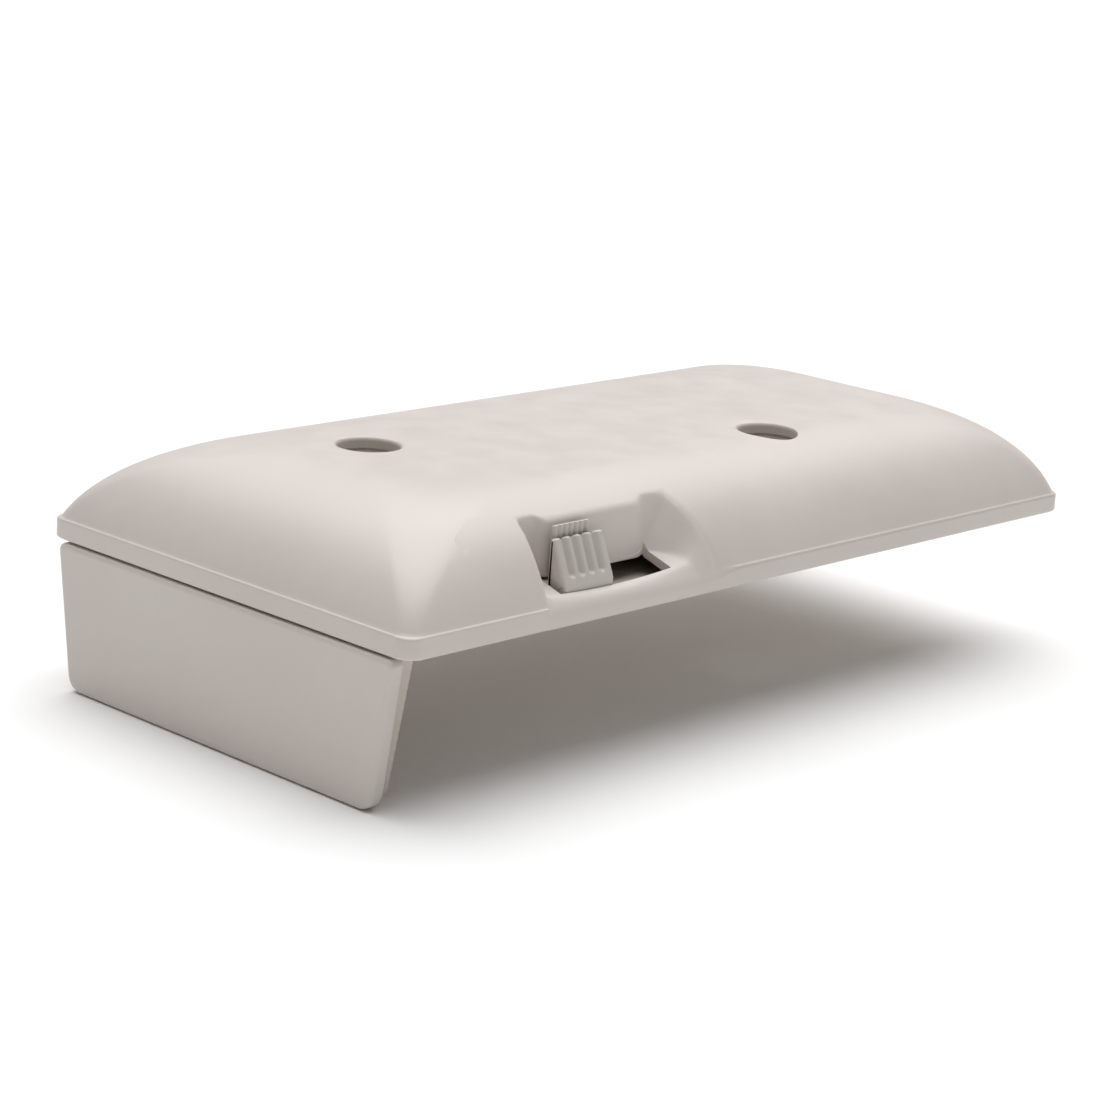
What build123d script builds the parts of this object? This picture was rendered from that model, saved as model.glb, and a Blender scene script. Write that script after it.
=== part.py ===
from build123d import *
from math import asin, atan2, cos, pi, sin, sqrt
import os

# Hand-operated garage door opener: a low pillow-shaped transmitter housing that two screws
# fasten to a dashboard, shelf or wall, with an end panel that laps over its edge.
# Millimetres. Origin at the centre of the flat underside, +X away from the end panel,
# -Y the side with the finger scoop, +Z out of the mounting surface.

# Housing
length = 150.0
width = 77.0
rim_height = 3.2
crown_height = 16.6
wall = 2.0
rim_corner = 2.6
rim_step = 0.3
crown_inset = 18.5
corner_growth = 0.65
reach_left = 1.2
reach_right = 0.9
reach_back = 1.2
rim_edge = 0.7
fit_gap = 0.15
seat_corner = 1.3

# Cross-section arc of the crown, from the top of the rim to the level middle. It belongs to
# the -Y side; each reach stretches it for another side
crown_rise = crown_height - rim_height
crown_run = crown_inset - rim_step
crown_arc = (crown_run**2 + crown_rise**2) / (2 * crown_rise)
arc_centre_z = crown_height - crown_arc
crown_sections = 9

# Base plate, its hanging flange and the end panel on it
base_thickness = 2.2
base_corner = 1.2
base_inset = wall + 0.1 + fit_gap
base_edge_x = length / 2 - base_inset
panel_thickness = 2.35
panel_proud = 0.45
panel_top = -0.3
panel_bottom = -22.4
panel_half_top = 36.0
panel_half_bottom = 32.8
panel_corner = 2.8
panel_edge = 0.8
flange_top_thickness = 2.4
flange_bottom_thickness = 1.3
flange_margin = 0.9
stake_radius = 1.6
stake_gap = 0.05
stake_head_radius = 2.4
stake_head_height = 0.7
stake_flush_gap = 0.25
stake_spots = [(-20.0, -10.0), (20.0, -10.0)]

# Two mounting screws (No. 8 or M4 pan head) in deep round recesses
mount_spots = [(-42.3, 5.6), (19.4, -19.4)]
mount_hole_radius = 2.25
mount_recess_radius = 4.7
mount_recess_floor = 5.0
mount_column_radius = 6.2

# Case screws, driven from underneath into bosses of the cover
case_spots = [(x, y) for x in (-64.0, 64.0) for y in (-27.0, 27.0)]
case_boss_radius = 3.2
case_boss_top = 12.0
case_shank_radius = 1.25
case_shank_top = 9.5
case_hole_spare = 0.5
case_shank_chamfer = 0.4
case_head_radius = 2.6
case_head_height = 1.3
screw_gap = 0.02
head_gap = 0.2

# Finger scoop in the -Y slope, its sloping floor and the slot for the thumb slide
scoop_left_back = (-46.6, -30.1)
scoop_left_front = (-48.6, -37.9)
scoop_right_back = (-16.7, -30.1)
scoop_right_front = (-12.8, -38.1)
scoop_back_y = -31.4
scoop_ear_y = -30.1
scoop_ear_left = (-41.2, -44.0)
scoop_ear_right = (-23.6, -20.6)
scoop_corner = 1.1
scoop_end_radius = 4.8
scoop_wall = 1.6
scoop_lip_y = -37.5
scoop_lip_z = 3.4
scoop_floor_slope = 0.3
scoop_floor_thickness = 1.3
slot_left = -44.2
slot_right = -21.2
slot_front = -36.3
tongue_window_back = -26.5
tongue_window_top = 5.1

# Thumb slide and its travel along +X
travel = 11.5
slide_left = -43.2
slide_right = -33.0
slide_bottom = 2.5
slide_front = -36.1
slide_base_top = 4.8
ridge_front = -33.45
ridge_back = -32.8
ridge_height = 11.0
blade_front = -32.3
blade_back = -31.7
blade_height = 12.5
blade_left = -42.0
blade_right = -34.6
tongue_top = 4.6
tongue_gap = 0.05
tongue_back = -24.0
grip_ribs = 5
grip_groove_width = 0.8
grip_groove_depth = 0.6
blade_grooves = 6
peg_lead = 0.6
peg_rise = 0.2
blade_groove_width = 0.5
blade_groove_depth = 0.3
blade_root = 1.0

# Carriage on its guide pin, with the ramp that works the switch
pin_radius = 1.0
pin_chamfer = 0.25
pin_y = -24.6
pin_z = 6.6
running_gap = 0.06
carriage_left = -47.5
carriage_right = -32.0
carriage_front = -26.9
carriage_top = 10.0
ramp_slope = 0.1
ramp_start_x = -33.0
ramp_start_y = -22.3
peg_radius = 1.0
bracket_thickness = 1.8
left_bracket_x = -51.5
right_bracket_x = -8.8
bracket_front = -27.0
bracket_back = -22.0
bracket_top = 9.0
spring_radius = 1.9
spring_wire = 0.25
spring_turns = 8
spring_end_gap = 0.3

# Circuit board and the microswitch on it
board_bottom = 4.0
board_thickness = 1.6
board_top = board_bottom + board_thickness
board_right = 11.0
board_left = -34.0
board_switch_left = -41.0
board_front = -19.4
board_step_y = -3.0
board_back = 26.0
board_screw_spots = [(-37.5, -6.5), (7.5, -16.0), (-30.5, 22.5), (7.5, 22.5)]
board_post_radius = 2.6
board_shank_radius = 1.1
board_shank_bottom = 0.8
board_head_radius = 2.0
board_head_height = 1.3
board_head_round = 0.5
board_hole_gap = 0.1
switch_left = -39.8
switch_length = 12.8
switch_front = -19.6
switch_depth = 6.5
switch_thickness = 5.8
plunger_x = -33.4
plunger_radius = 0.8
plunger_back = -17.6
plunger_gap = 0.03
plunger_bore_gap = 0.08
plunger_bore_spare = 0.5
tag_pitch = 5.08
tag_width = 0.8
tag_thickness = 0.5
tag_reach = 1.7

# Components on the board: spots in plan, then their package sizes
chip_spot = (-8.0, 6.0)
chip_length = 11.6
chip_width = 7.5
chip_height = 2.3
chip_lift = 0.2
chip_chamfer = 0.3
leg_pitch = 1.27
legs_per_side = 9
leg_width = 0.42
leg_reach = 1.2
resonator_spot = (-21.0, 14.0)
resonator_flange_radius = 4.6
resonator_flange_height = 0.6
resonator_radius = 4.1
resonator_height = 3.3
resonator_round = 0.5
trimmer_spot = (-9.0, 17.5)
trimmer_radius = 3.0
trimmer_height = 3.2
trimmer_slot_length = 4.0
trimmer_slot_width = 0.7
trimmer_slot_depth = 0.8
electrolytic_spot = (-1.0, -9.5)
electrolytic_radius = 2.5
electrolytic_height = 7.0
electrolytic_round = 0.4
resistor_x = -24.5
resistor_first_y = -13.5
resistor_pitch = 3.4
resistor_count = 4
resistor_radius = 1.1
resistor_length = 6.2
resistor_round = 0.35
ceramic_middle = (-13.0, -12.0)
ceramic_pitch = (4.0, 4.5)
ceramic_length = 2.0
ceramic_width = 1.25
ceramic_height = 0.9
transistor_spot = (-26.0, 4.0)
transistor_radius = 2.4
transistor_flat = 1.2
transistor_height = 4.6
transistor_lift = 1.5
transistor_leg_width = 0.45
transistor_leg_depth = 0.4
transistor_leg_back = 0.3
transistor_leg_bury = 0.1
antenna_right = 8.5
antenna_left = -28.0
antenna_front = -9.0
antenna_back = 17.0
antenna_height = 11.0
antenna_bend = 2.0
antenna_wire = 0.5

# Battery, a 12 V cell 10.3 mm in diameter and 28.5 mm long, in its cradle
battery_radius = 5.15
battery_length = 28.5
battery_left = 26.2
battery_y = 8.0
battery_z = 8.2
battery_gap = 0.2
battery_round = 0.5
battery_nub_radius = 2.0
battery_nub_height = 1.0
cradle_left = 21.8
cradle_right = 56.8
cradle_end = 1.6
cradle_side = 1.5
contact_thickness = 0.4
contact_half_width = 3.5
contact_top = 11.5
contact_gap = 0.05
contact_tab_offset = 1.5
coil_radius = 2.6
coil_wire = 0.25
coil_pitch = 0.7
coil_length = 1.4
coil_gap = 0.3
lead_start_offset = 2.0
lead_radius = 0.6
lead_bend = 1.8
lead_height = 9.6
positive_run = (-3.0, 5.0)
negative_run = (-1.4, 8.8)

plate_top = Plane.XY.offset(base_thickness)
board_plane = Plane.XY.offset(board_top)
written = []


def keep(piece, name):
    piece.part.label = name
    export_step(piece.part, f"parts/{name}.step")
    written.append(name)


def crown_section(angle, thinner):
    """Inset from the rim and height of one point on the crown's arc."""
    radius = crown_arc - thinner
    return crown_inset - radius * cos(angle), arc_centre_z + radius * sin(angle)


def stretched(inset, reach):
    """Inset on a side whose slope reaches further in than the front's, or less far."""
    return rim_step + (inset - rim_step) * reach


def crown(thinner, start_z):
    """Pillow-shaped solid from start_z up; its corners widen as it rises."""
    first = asin((start_z - arc_centre_z) / (crown_arc - thinner))
    with BuildPart() as solid:
        for step in range(crown_sections):
            angle = first + (pi / 2 - first) * step / (crown_sections - 1)
            inset, height = crown_section(angle, thinner)
            left = -length / 2 + stretched(inset, reach_left)
            right = length / 2 - stretched(inset, reach_right)
            front = -width / 2 + inset
            back = width / 2 - stretched(inset, reach_back)
            corner = rim_corner + corner_growth * inset
            with BuildSketch(Plane.XY.offset(height)):
                with Locations(((left + right) / 2, (front + back) / 2)):
                    RectangleRounded(right - left, back - front, corner)
        loft()
    return solid.part


def scoop_outline():
    """Plan of the scoop: a straight back wall between two deeper rounded corners."""
    with BuildLine() as line:
        FilletPolyline(
            scoop_left_front,
            scoop_left_back,
            (scoop_ear_left[1], scoop_ear_y),
            (scoop_ear_left[0], scoop_back_y),
            (scoop_ear_right[0], scoop_back_y),
            (scoop_ear_right[1], scoop_ear_y),
            scoop_right_back,
            scoop_right_front,
            (scoop_right_front[0], -width / 2 - wall),
            (scoop_left_front[0], -width / 2 - wall),
            radius=scoop_corner,
            close=True,
        )
    return line.line


def coil(start, radius, wire, pitch, height, direction):
    """Round-wire helical coil as a closed solid."""
    with BuildPart() as solid:
        with BuildLine():
            turns = Helix(pitch, height, radius, center=start, direction=direction)
        with BuildSketch(Plane(origin=turns @ 0, z_dir=turns % 0)):
            Circle(wire)
        sweep(is_frenet=True)
    return solid


os.makedirs("parts", exist_ok=True)

# ---- Cover shell: thin rim, crowned top, recess columns, bosses and the finger scoop
floor_plane = Plane(
    origin=(0, scoop_lip_y, scoop_lip_z),
    x_dir=(1, 0, 0),
    z_dir=(0, -scoop_floor_slope, 1),
)
floor_under = floor_plane.offset(-scoop_floor_thickness)

with BuildPart() as outer:
    with BuildSketch():
        RectangleRounded(length, width, rim_corner)
    extrude(amount=rim_height)
    fillet(outer.faces().sort_by(Axis.Z)[0].edges(), rim_edge)
    add(crown(0, rim_height))

with BuildPart() as cavity:
    with BuildSketch():
        RectangleRounded(
            length - 2 * (base_inset - fit_gap),
            width - 2 * (base_inset - fit_gap),
            seat_corner,
        )
    extrude(amount=base_thickness)
    add(crown(wall, base_thickness))

with BuildPart() as scoop_block:
    with BuildSketch():
        with BuildLine():
            Polyline(
                (scoop_left_front[0] - scoop_wall, -width / 2 - wall),
                (scoop_left_back[0] - scoop_wall, scoop_ear_y + scoop_wall),
                (scoop_right_back[0] + scoop_wall, scoop_ear_y + scoop_wall),
                (scoop_right_front[0] + scoop_wall, -width / 2 - wall),
                close=True,
            )
        make_face()
    extrude(amount=crown_height)
    split(bisect_by=floor_under, keep=Keep.TOP)
    add(outer.part, mode=Mode.INTERSECT)

# The scoop's right end is a concave cylinder that runs along its slanting top edge, so a
# fillet-like filling is left in the pocket there
end_run = Vector(scoop_right_front[0], scoop_right_front[1]) - Vector(*scoop_right_back)
end_length = end_run.length
end_fall = scoop_floor_slope * end_run.Y
end_z = scoop_lip_z + scoop_floor_slope * (scoop_right_back[1] - scoop_lip_y)
end_plane = Plane(
    origin=(scoop_right_back[0], scoop_right_back[1], end_z),
    x_dir=(-end_run.Y, end_run.X, 0),
    z_dir=(end_run.X, end_run.Y, end_fall),
)
with BuildPart() as scoop_end:
    with BuildSketch(end_plane):
        with Locations((0, 0)):
            Rectangle(2 * scoop_end_radius, 2 * scoop_end_radius)
        with Locations((-scoop_end_radius, scoop_end_radius)):
            Circle(scoop_end_radius, mode=Mode.SUBTRACT)
    extrude(amount=2 * end_length, both=True)

with BuildPart() as scoop_pocket:
    with BuildSketch():
        make_face(scoop_outline())
    extrude(amount=crown_height)
    split(bisect_by=floor_plane, keep=Keep.TOP)
    add(scoop_end.part, mode=Mode.SUBTRACT)

with BuildPart() as cover_posts:
    with BuildSketch(plate_top):
        with Locations(*mount_spots):
            Circle(mount_column_radius)
    extrude(amount=crown_height)
    with BuildSketch(plate_top):
        with Locations(*case_spots):
            Circle(case_boss_radius)
    extrude(amount=case_boss_top - base_thickness)
    add(outer.part, mode=Mode.INTERSECT)

with BuildPart() as cover_shell:
    add(outer.part)
    add(cavity.part, mode=Mode.SUBTRACT)
    add(cover_posts.part)
    add(scoop_block.part)
    add(scoop_pocket.part, mode=Mode.SUBTRACT)
    with BuildSketch(Plane.XY.offset(base_thickness)):
        with Locations(((slot_left + slot_right) / 2, (slot_front + scoop_back_y) / 2)):
            Rectangle(slot_right - slot_left, scoop_back_y - slot_front)
    extrude(amount=crown_height / 2, mode=Mode.SUBTRACT)
    with BuildSketch(Plane.XY.offset(base_thickness)):
        with Locations(((slot_left + slot_right) / 2, (scoop_back_y + tongue_window_back) / 2)):
            Rectangle(slot_right - slot_left, tongue_window_back - scoop_back_y)
    extrude(amount=tongue_window_top - base_thickness, mode=Mode.SUBTRACT)
    with BuildSketch(Plane.XY.offset(mount_recess_floor)):
        with Locations(*mount_spots):
            Circle(mount_recess_radius)
    extrude(amount=crown_height, mode=Mode.SUBTRACT)
    with BuildSketch(plate_top):
        with Locations(*mount_spots):
            Circle(mount_hole_radius)
    extrude(amount=crown_height, mode=Mode.SUBTRACT)
    with BuildSketch(plate_top):
        with Locations(*case_spots):
            Circle(case_shank_radius + screw_gap)
    extrude(amount=case_shank_top + case_hole_spare - base_thickness, mode=Mode.SUBTRACT)
keep(cover_shell, "cover_shell")

# ---- Base plate with the downturned flange, posts and brackets
flange_top_y = panel_half_top - flange_margin
flange_bottom_y = panel_half_bottom - flange_margin
flange_outer_x = -base_edge_x
flange_draft = flange_top_thickness - flange_bottom_thickness
flange_bottom = panel_bottom + flange_margin
stake_depth = stake_spots[0][1] / flange_bottom
stake_head_x = flange_outer_x + flange_top_thickness - flange_draft * stake_depth - stake_head_height

with BuildPart() as flange:
    with BuildSketch(Plane.YZ.offset(flange_outer_x)):
        with BuildLine():
            FilletPolyline(
                (-flange_top_y, base_thickness / 2),
                (-flange_bottom_y, flange_bottom),
                (flange_bottom_y, flange_bottom),
                (flange_top_y, base_thickness / 2),
                radius=panel_corner - flange_margin,
            )
            Line((flange_top_y, base_thickness / 2), (-flange_top_y, base_thickness / 2))
        make_face()
    extrude(amount=flange_top_thickness)
    with BuildSketch(Plane.XZ.offset(-width)):
        with BuildLine():
            Polyline(
                (flange_outer_x + flange_top_thickness, 0),
                (flange_outer_x + flange_bottom_thickness, flange_bottom),
                (flange_outer_x + flange_top_thickness, flange_bottom),
                close=True,
            )
        make_face()
    extrude(amount=2 * width, mode=Mode.SUBTRACT)
    with BuildSketch(Plane.YZ.offset(flange_outer_x)):
        with Locations(*stake_spots):
            Circle(stake_radius + stake_gap)
    extrude(amount=flange_top_thickness, mode=Mode.SUBTRACT)
    with BuildSketch(Plane.YZ.offset(stake_head_x)):
        with Locations(*stake_spots):
            Circle(stake_head_radius + fit_gap)
    extrude(amount=flange_top_thickness, mode=Mode.SUBTRACT)

with BuildPart() as base_plate:
    with BuildSketch():
        RectangleRounded(2 * base_edge_x, width - 2 * base_inset, base_corner)
    extrude(amount=base_thickness)
    add(flange.part)
    with BuildSketch(plate_top):
        with Locations(*board_screw_spots):
            Circle(board_post_radius)
    extrude(amount=board_bottom - base_thickness)
    for bracket_x in (left_bracket_x, right_bracket_x):
        with BuildSketch(plate_top):
            with Locations((bracket_x + bracket_thickness / 2, (bracket_front + bracket_back) / 2)):
                Rectangle(bracket_thickness, bracket_back - bracket_front)
        extrude(amount=bracket_top - base_thickness)
    with BuildSketch(Plane(origin=(left_bracket_x, pin_y, pin_z), z_dir=(1, 0, 0))):
        Circle(pin_radius + screw_gap)
    extrude(amount=right_bracket_x + bracket_thickness - left_bracket_x, mode=Mode.SUBTRACT)
    with BuildSketch():
        with Locations(*mount_spots):
            Circle(mount_hole_radius)
        with Locations(*case_spots):
            Circle(case_shank_radius + screw_gap)
    extrude(amount=base_thickness, mode=Mode.SUBTRACT)
    with BuildSketch():
        with Locations(*case_spots):
            Circle(case_head_radius + head_gap)
    extrude(amount=case_head_height + screw_gap, mode=Mode.SUBTRACT)
    with BuildSketch(Plane.XY.offset(board_shank_bottom - screw_gap)):
        with Locations(*board_screw_spots):
            Circle(board_shank_radius + screw_gap)
    extrude(amount=board_bottom, mode=Mode.SUBTRACT)
keep(base_plate, "base_plate")

# ---- End panel: a slightly tapered outer plate with rounded edges, heat-staked to the flange
panel_outer_x = -length / 2 - panel_proud
with BuildPart() as end_panel:
    with BuildSketch(Plane.YZ.offset(panel_outer_x)):
        with BuildLine():
            FilletPolyline(
                (-panel_half_top, panel_top),
                (-panel_half_bottom, panel_bottom),
                (panel_half_bottom, panel_bottom),
                (panel_half_top, panel_top),
                radius=panel_corner,
            )
            Line((panel_half_top, panel_top), (-panel_half_top, panel_top))
        make_face()
    extrude(amount=panel_thickness)
    outer_face = end_panel.faces().sort_by(Axis.X)[0]
    fillet(outer_face.edges(), panel_edge)
    stake_x = panel_outer_x + panel_thickness
    with BuildSketch(Plane.YZ.offset(stake_x)):
        with Locations(*stake_spots):
            Circle(stake_radius)
    extrude(amount=stake_head_x - stake_x)
    with BuildSketch(Plane.YZ.offset(stake_head_x)):
        with Locations(*stake_spots):
            Circle(stake_head_radius)
    extrude(amount=stake_head_height - stake_flush_gap)
keep(end_panel, "end_panel")

# ---- Thumb slide: ribbed wedge, ribbed blade behind it and the tongue under the scoop's wall
slide_width = slide_right - slide_left
slide_middle = (slide_left + slide_right) / 2
slope_run = ridge_front - slide_front
slope_rise = ridge_height - slide_base_top
slope_length = sqrt(slope_run**2 + slope_rise**2)
slope_plane = Plane(
    origin=(slide_middle, (slide_front + ridge_front) / 2, (slide_base_top + ridge_height) / 2),
    x_dir=(1, 0, 0),
    z_dir=(0, -slope_rise, slope_run),
)
with BuildPart() as thumb_slide:
    with BuildSketch(Plane.YZ.offset(slide_left)):
        with BuildLine():
            Polyline(
                (slide_front, slide_bottom),
                (slide_front, slide_base_top),
                (ridge_front, ridge_height),
                (ridge_back, ridge_height),
                (ridge_back, tongue_top),
                (tongue_back, tongue_top),
                (tongue_back, slide_bottom),
                close=True,
            )
        make_face()
    extrude(amount=slide_width)
    with BuildSketch(slope_plane):
        with GridLocations(slide_width / grip_ribs, 1, grip_ribs - 1, 1):
            Rectangle(grip_groove_width, slope_length)
    extrude(amount=-grip_groove_depth, mode=Mode.SUBTRACT)
    with BuildSketch(Plane.XZ.offset(-blade_back)):
        blade_middle = (blade_left + blade_right) / 2
        with Locations((blade_middle, (tongue_top - blade_root + blade_height) / 2)):
            Rectangle(blade_right - blade_left, blade_height - tongue_top + blade_root)
    extrude(amount=blade_back - blade_front)
    with BuildSketch(Plane.XZ.offset(-blade_front)):
        with Locations((blade_middle, (ridge_height + blade_height) / 2)):
            with GridLocations((blade_right - blade_left) / blade_grooves, 1, blade_grooves, 1):
                Rectangle(blade_groove_width, blade_height - ridge_height)
    extrude(amount=-blade_groove_depth, mode=Mode.SUBTRACT)
    with BuildSketch(Plane.XY.offset(slide_bottom)):
        with Locations((slide_middle, pin_y - peg_lead)):
            Circle(peg_radius + screw_gap)
    extrude(amount=tongue_top - slide_bottom, mode=Mode.SUBTRACT)
keep(thumb_slide, "thumb_slide")

# ---- Slide carriage: block that runs on the guide pin, with a shallow ramp on its rear face
with BuildPart() as slide_carriage:
    with BuildSketch(Plane.XY.offset(slide_bottom)):
        with BuildLine():
            Polyline(
                (carriage_left, carriage_front),
                (carriage_right, carriage_front),
                (carriage_right, ramp_start_y + ramp_slope * (ramp_start_x - carriage_right)),
                (carriage_left, ramp_start_y + ramp_slope * (ramp_start_x - carriage_left)),
                close=True,
            )
        make_face()
    extrude(amount=carriage_top - slide_bottom)
    with BuildSketch(Plane.XY.offset(slide_bottom)):
        with Locations((slide_middle, (carriage_front + tongue_back) / 2)):
            Rectangle(slide_width + 2 * fit_gap, tongue_back - carriage_front + 2 * fit_gap)
    extrude(amount=tongue_top + tongue_gap - slide_bottom, mode=Mode.SUBTRACT)
    with BuildSketch(Plane.XY.offset(slide_bottom)):
        with Locations((slide_middle, pin_y - peg_lead)):
            Circle(peg_radius)
    extrude(amount=tongue_top + peg_rise - slide_bottom)
    with BuildSketch(Plane(origin=(carriage_left, pin_y, pin_z), z_dir=(1, 0, 0))):
        Circle(pin_radius + running_gap)
    extrude(amount=carriage_right - carriage_left, mode=Mode.SUBTRACT)
keep(slide_carriage, "slide_carriage")

# ---- Guide pin and the return spring around it
with BuildPart() as guide_pin:
    with BuildSketch(Plane(origin=(left_bracket_x, pin_y, pin_z), z_dir=(1, 0, 0))):
        Circle(pin_radius)
    extrude(amount=right_bracket_x + bracket_thickness - left_bracket_x)
    chamfer(guide_pin.edges(), pin_chamfer)
keep(guide_pin, "guide_pin")

spring_start = carriage_right + spring_wire + spring_end_gap
spring_end = right_bracket_x - spring_wire - spring_end_gap
spring_length = spring_end - spring_start
return_spring = coil(
    (spring_start, pin_y, pin_z),
    spring_radius,
    spring_wire,
    spring_length / spring_turns,
    spring_length,
    (1, 0, 0),
)
keep(return_spring, "return_spring")

# ---- Circuit board, with the strip that carries the switch
with BuildPart() as circuit_board:
    with BuildSketch(Plane.XY.offset(board_bottom)):
        with BuildLine():
            Polyline(
                (board_switch_left, board_front),
                (board_right, board_front),
                (board_right, board_back),
                (board_left, board_back),
                (board_left, board_step_y),
                (board_switch_left, board_step_y),
                close=True,
            )
        make_face()
        with Locations(*board_screw_spots):
            Circle(board_shank_radius + board_hole_gap, mode=Mode.SUBTRACT)
    extrude(amount=board_thickness)
keep(circuit_board, "circuit_board")

with BuildPart() as board_screws:
    with BuildSketch(Plane.XY.offset(board_shank_bottom)):
        with Locations(*board_screw_spots):
            Circle(board_shank_radius)
    extrude(amount=board_top - board_shank_bottom)
    with BuildSketch(board_plane):
        with Locations(*board_screw_spots):
            Circle(board_head_radius)
    extrude(amount=board_head_height)
    fillet(board_screws.edges().group_by(Axis.Z)[-1], board_head_round)
keep(board_screws, "board_screws")

with BuildPart() as case_screws:
    with BuildSketch():
        with Locations(*case_spots):
            Circle(case_head_radius)
    extrude(amount=case_head_height)
    with BuildSketch(Plane.XY.offset(case_head_height)):
        with Locations(*case_spots):
            Circle(case_shank_radius)
    extrude(amount=case_shank_top - case_head_height)
    chamfer(case_screws.edges().group_by(Axis.Z)[-1], case_shank_chamfer)
keep(case_screws, "case_screws")

# ---- Microswitch: body, moving plunger and three terminals bent down to the board
switch_middle_z = board_top + switch_thickness / 2
switch_back = switch_front + switch_depth
with BuildPart() as microswitch_body:
    with BuildSketch(board_plane):
        with Locations((switch_left + switch_length / 2, switch_front + switch_depth / 2)):
            Rectangle(switch_length, switch_depth)
    extrude(amount=switch_thickness)
    with BuildSketch(Plane(origin=(plunger_x, switch_front, switch_middle_z), z_dir=(0, 1, 0))):
        Circle(plunger_radius + plunger_bore_gap)
    bore_depth = plunger_back + travel * ramp_slope + plunger_bore_spare - switch_front
    extrude(amount=bore_depth, mode=Mode.SUBTRACT)
keep(microswitch_body, "microswitch_body")

ramp_angle = atan2(ramp_slope, 1)
ramp_y_at_plunger = ramp_start_y + ramp_slope * (ramp_start_x - plunger_x)
tip_y = ramp_y_at_plunger + (plunger_radius + plunger_gap) / cos(ramp_angle)
with BuildPart() as microswitch_plunger:
    with BuildSketch(Plane(origin=(plunger_x, tip_y, switch_middle_z), z_dir=(0, 1, 0))):
        Circle(plunger_radius)
    extrude(amount=plunger_back - tip_y)
    with Locations((plunger_x, tip_y, switch_middle_z)):
        Sphere(plunger_radius)
keep(microswitch_plunger, "microswitch_plunger")

with BuildPart() as microswitch_terminals:
    tag_top = switch_middle_z + tag_thickness / 2
    for pitch_step in (-1, 0, 1):
        tag_x = switch_left + switch_length / 2 + pitch_step * tag_pitch
        with BuildSketch(Plane.YZ.offset(tag_x - tag_width / 2)):
            with BuildLine():
                Polyline(
                    (switch_back, tag_top),
                    (switch_back + tag_reach, tag_top),
                    (switch_back + tag_reach, board_top),
                    (switch_back + tag_reach - tag_thickness, board_top),
                    (switch_back + tag_reach - tag_thickness, tag_top - tag_thickness),
                    (switch_back, tag_top - tag_thickness),
                    close=True,
                )
            make_face()
        extrude(amount=tag_width)
keep(microswitch_terminals, "microswitch_terminals")

# ---- Transmitter components on the board
with BuildPart() as encoder_chip:
    with BuildSketch(Plane.XY.offset(board_top + chip_lift)):
        with Locations(chip_spot):
            Rectangle(chip_length, chip_width)
    extrude(amount=chip_height)
    chamfer(encoder_chip.edges().group_by(Axis.Z)[-1], chip_chamfer)
keep(encoder_chip, "encoder_chip")

with BuildPart() as chip_legs:
    for side in (-1, 1):
        with BuildSketch(board_plane):
            with Locations((chip_spot[0], chip_spot[1] + side * (chip_width + leg_reach) / 2)):
                with GridLocations(leg_pitch, 1, legs_per_side, 1):
                    Rectangle(leg_width, leg_reach)
        extrude(amount=leg_reach)
keep(chip_legs, "chip_legs")

with BuildPart() as rf_resonator:
    with BuildSketch(board_plane):
        with Locations(resonator_spot):
            Circle(resonator_flange_radius)
    extrude(amount=resonator_flange_height)
    with BuildSketch(board_plane):
        with Locations(resonator_spot):
            Circle(resonator_radius)
    extrude(amount=resonator_height)
    fillet(rf_resonator.edges().group_by(Axis.Z)[-1], resonator_round)
keep(rf_resonator, "rf_resonator")

with BuildPart() as trimmer_capacitor:
    with BuildSketch(board_plane):
        with Locations(trimmer_spot):
            Circle(trimmer_radius)
    extrude(amount=trimmer_height)
    with BuildSketch(Plane.XY.offset(board_top + trimmer_height)):
        with Locations(trimmer_spot):
            Rectangle(trimmer_slot_length, trimmer_slot_width)
    extrude(amount=-trimmer_slot_depth, mode=Mode.SUBTRACT)
keep(trimmer_capacitor, "trimmer_capacitor")

with BuildPart() as electrolytic_capacitor:
    with BuildSketch(board_plane):
        with Locations(electrolytic_spot):
            Circle(electrolytic_radius)
    extrude(amount=electrolytic_height)
    fillet(electrolytic_capacitor.edges().group_by(Axis.Z)[-1], electrolytic_round)
keep(electrolytic_capacitor, "electrolytic_capacitor")

with BuildPart() as resistors:
    for row in range(resistor_count):
        row_y = resistor_first_y + resistor_pitch * row
        row_origin = (resistor_x, row_y, board_top + resistor_radius)
        with BuildSketch(Plane(origin=row_origin, z_dir=(1, 0, 0))):
            Circle(resistor_radius)
        extrude(amount=resistor_length)
    fillet(resistors.edges(), resistor_round)
keep(resistors, "resistors")

with BuildPart() as ceramic_capacitors:
    with BuildSketch(board_plane):
        with Locations(ceramic_middle):
            with GridLocations(*ceramic_pitch, 2, 2):
                Rectangle(ceramic_length, ceramic_width)
    extrude(amount=ceramic_height)
keep(ceramic_capacitors, "ceramic_capacitors")

with BuildPart() as oscillator_transistor:
    with BuildSketch(Plane.XY.offset(board_top + transistor_lift)):
        with Locations(transistor_spot):
            Circle(transistor_radius)
            with Locations((0, -transistor_flat - transistor_radius)):
                Rectangle(3 * transistor_radius, 2 * transistor_radius, mode=Mode.SUBTRACT)
    extrude(amount=transistor_height)
    with BuildSketch(board_plane):
        with Locations((transistor_spot[0], transistor_spot[1] + transistor_leg_back)):
            with GridLocations(leg_pitch, 1, 3, 1):
                Rectangle(transistor_leg_width, transistor_leg_depth)
    extrude(amount=transistor_lift + transistor_leg_bury)
keep(oscillator_transistor, "oscillator_transistor")

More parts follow.
